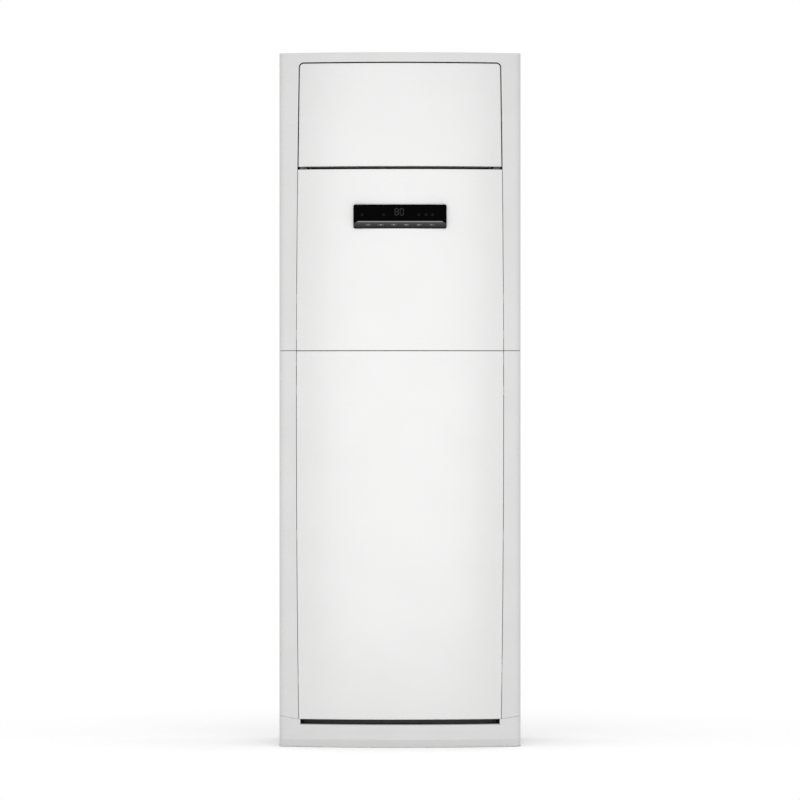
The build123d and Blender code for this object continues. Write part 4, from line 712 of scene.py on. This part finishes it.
head, shank, rise = 0.0040, 0.0020, 0.0017
head_seat, shank_end, point_end = 0.00001, -0.0062, -0.0070
screw_profile = [
    (0, rise), (head * 0.55, rise * 0.97), (head * 0.82, rise * 0.80),
    (head * 0.96, rise * 0.48), (head, rise * 0.12), (head * 0.98, head_seat),
    (shank, head_seat), (shank, shank_end), (shank * 0.3, point_end), (0, point_end),
]
screw_body = into_scene("one_screw", spun_mesh(screw_profile, steps=32))
print("screw", len(screw_body.data.vertices), "points")

# %% Cut the cross
cross_size = (0.0044, 0.0008, 0.0024)
cross_lift, foot_length, foot_width = 0.0002, 0.55, 0.8


def cross_cutter():
    """Cross that stands in the head, with arms that taper towards its foot."""
    shape = bmesh.new()
    for turn in (0, 90):
        made = bmesh.ops.create_cube(shape, size=1)["verts"]
        bmesh.ops.scale(shape, verts=made, vec=cross_size)
        bmesh.ops.translate(shape, verts=made, vec=(0, 0, rise + cross_lift))
        for v in made:
            if v.co.z < rise:
                v.co.x *= foot_length
                v.co.y *= foot_width
        bmesh.ops.rotate(shape, verts=made, matrix=Matrix.Rotation(math.radians(turn), 3, "Z"))
    return into_scene("cross", mesh_from(shape, "cross"))


cutter = cross_cutter()
cut = screw_body.modifiers.new("cross", "BOOLEAN")
cut.operation, cut.object, cut.solver, cut.use_self = "DIFFERENCE", cutter, "EXACT", True
bpy.context.view_layer.update()
evaluated_screw = screw_body.evaluated_get(bpy.context.evaluated_depsgraph_get())
cut_screw = bpy.data.meshes.new_from_object(evaluated_screw)
bpy.data.objects.remove(cutter)
bpy.data.objects.remove(screw_body)
print("cut screw has", len(cut_screw.polygons), "faces")

# %% Find every screw of the frame
def islands(mesh):
    """Middle points of the separate solids of a mesh."""
    shape = bmesh.new()
    shape.from_mesh(mesh)
    bmesh.ops.remove_doubles(shape, verts=shape.verts, dist=1e-6)
    left, middles = set(shape.verts), []
    while left:
        grow, found = [left.pop()], []
        while grow:
            v = grow.pop()
            found.append(v.co.copy())
            for edge in v.link_edges:
                other = edge.other_vert(v)
                if other in left:
                    left.remove(other)
                    grow.append(other)
        lows = [min(p[i] for p in found) for i in range(3)]
        highs = [max(p[i] for p in found) for i in range(3)]
        middles.append([(a + b) / 2 for a, b in zip(lows, highs)])
    shape.free()
    return sorted(middles)


screw_places = islands(parts["panel_screws"].data)
print(len(screw_places), "screws in the frame")

# %% Copy the screw to every place
heads_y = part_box("panel_screws")[1].y - rise
turn_degrees = 37
screws = bmesh.new()
for index, (x, y, z) in enumerate(screw_places):
    before = set(screws.verts)
    screws.from_mesh(cut_screw)
    new = [v for v in screws.verts if v not in before]
    turn = Matrix.Rotation(math.radians(turn_degrees * index), 4, "Z")
    upright = Matrix.Rotation(math.radians(90), 4, "X")
    seat = Matrix.Translation((x, heads_y, z)) @ Matrix.Rotation(math.pi, 4, "Z")
    bmesh.ops.transform(screws, verts=new, matrix=seat @ (upright @ turn))
screw_mesh = mesh_from(screws, "rear_screws")
screw_mesh.materials.clear()
screw_mesh.materials.append(finishes["zinc_screws"])
rear_screws = into_scene("rear_screws", screw_mesh)
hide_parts("panel_screws")
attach(rear_screws, "cabinet")
print("screws placed, reaching y", round(max(v.co.y for v in screw_mesh.vertices), 5))

# %% [markdown]
# ## Foam behind the air outlet
#
# Cold air turns forward in the top of the cabinet, so the steel behind it is
# lined with closed cell foam, or it would sweat. The sheet is a flat outline
# with a thickness, like the marks. It lies a tenth of a millimetre off the
# steel and also closes the two wall fixing holes to the light.

# %% Lining of the upper rear panel
foam_black = moulded("closed_cell_foam", (0.040, 0.041, 0.043), (0.056, 0.057, 0.060),
                     roughness=0.85, grain=0.0014, depth=0.0002)
foam_half_width, foam_half_height, foam_thickness = 0.262, 0.236, 0.004
foam_middle_z, foam_gap = 1.474, 0.0001
foam_back_y = min(v.co.y for v in parts["upper_rear_panel"].data.vertices) - foam_gap
foam_outline = [(x * foam_half_width, y * foam_half_height)
                for x, y in ((-1, -1), (1, -1), (1, 1), (-1, 1))]
foam_face = facing_front((0, foam_back_y, foam_middle_z))
lining = thin_marks(
    "rear_lining", [foam_outline], foam_face, foam_thickness, foam_black)
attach(lining, "cabinet")
print("lining from y", round(foam_back_y - foam_thickness, 4), "to", round(foam_back_y, 4))

# %% [markdown]
# ## The floor
#
# The object in the photograph stands on pure white. A plain pale floor does
# the same job and still gives the soft touch of shadow that keeps the cabinet
# from floating. Close to the object it is a pale matt surface, and further out
# it turns into the white of the surroundings, so no horizon line crosses the
# picture.

# %% Floor disc
def floor_finish(fade_start=0.45, fade_end=1.6):
    finish = new_finish("pale_floor", roughness=0.9, specular=0.0)
    tint(finish, spots(finish, size=0.4), (0.93, 0.93, 0.93), (0.95, 0.95, 0.95))
    nodes = finish.node_tree.nodes
    distance = nodes.new("ShaderNodeVectorMath")
    distance.operation = "LENGTH"
    fill(finish, distance, {0: place_on_object(finish)})
    fade = add_node(finish, "MapRange", {
        "Value": distance.outputs["Value"], "From Min": fade_start, "From Max": fade_end,
    })
    fade.interpolation_type = "SMOOTHSTEP"
    white = add_node(finish, "Emission", {"Strength": 1.0})
    mix = add_node(finish, "MixShader", {
        "Fac": fade.outputs["Result"],
        1: shader_of(finish).outputs["BSDF"],
        2: white.outputs["Emission"],
    })
    fill(finish, nodes["Material Output"], {"Surface": mix.outputs["Shader"]})
    return finish


floor_radius = 40
disc = bmesh.new()
bmesh.ops.create_circle(disc, cap_ends=True, segments=96, radius=floor_radius)
floor_mesh = mesh_from(disc, "studio_floor")
floor_mesh.materials.append(floor_finish())
floor = into_scene("studio_floor", floor_mesh)
print("floor radius", floor_radius, "m")

# %% [markdown]
# ## Light
#
# White things on white need light that is even but not equal. The white
# surroundings give a broad base. One soft box, a little taller than the
# cabinet and as wide as it is tall, stands on the floor some two metres in
# front. The satin panels mirror it as a blurred band that is bright in the
# middle and fades to both sides, which is how the eye knows that the front is
# curved.

# %% Surroundings and lamp
world = bpy.data.worlds.new("white_room")
bpy.context.scene.world = world
world.use_nodes = True
surroundings = world.node_tree.nodes["Background"]
surroundings.inputs["Color"].default_value = (1, 1, 1, 1)
surroundings.inputs["Strength"].default_value = 1.0
bpy.context.scene.view_settings.view_transform = "Standard"


def soft_lamp(name, place, aim, width, height, power):
    """Rectangular lamp at a place that looks at an aim, with its power in watts."""
    data = bpy.data.lights.new(name, "AREA")
    data.shape, data.size, data.size_y, data.energy = "RECTANGLE", width, height, power
    lamp = into_scene(name, data)
    lamp.location = place
    lamp.rotation_mode = "QUATERNION"
    lamp.rotation_quaternion = (Vector(aim) - Vector(place)).to_track_quat("-Z", "Y")
    return lamp


lamp_z = 1.015
front_lamp = soft_lamp("front_lamp", place=(0, -2.2, lamp_z), aim=(0, 0, lamp_z),
                       width=1.96, height=1.99, power=23.3)
print("lamp:", front_lamp.name)

# %% [markdown]
# ## The camera
#
# The photograph looks straight at the front from the middle of its height. The
# seams over and under that height bow by half a pixel or less, which puts the
# camera some twelve metres away with a long lens. The frame of 800 by 800 is
# just over two metres high at the object.

# %% Camera
distance, frame_height, eye_height = 12.0, 2.0116, 0.875
front_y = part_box("display_panel")[0].y
camera_data = bpy.data.cameras.new("camera")
camera_data.sensor_width = 36.0
camera_data.lens = camera_data.sensor_width * distance / frame_height
camera_data.clip_end = 200
camera = into_scene("camera", camera_data)
camera.location = (0.0, front_y - distance, eye_height)
camera.rotation_euler = (math.radians(90), 0, 0)
bpy.context.scene.camera = camera
print("camera at", tuple(round(v, 3) for v in camera.location), "lens", round(camera_data.lens, 1))
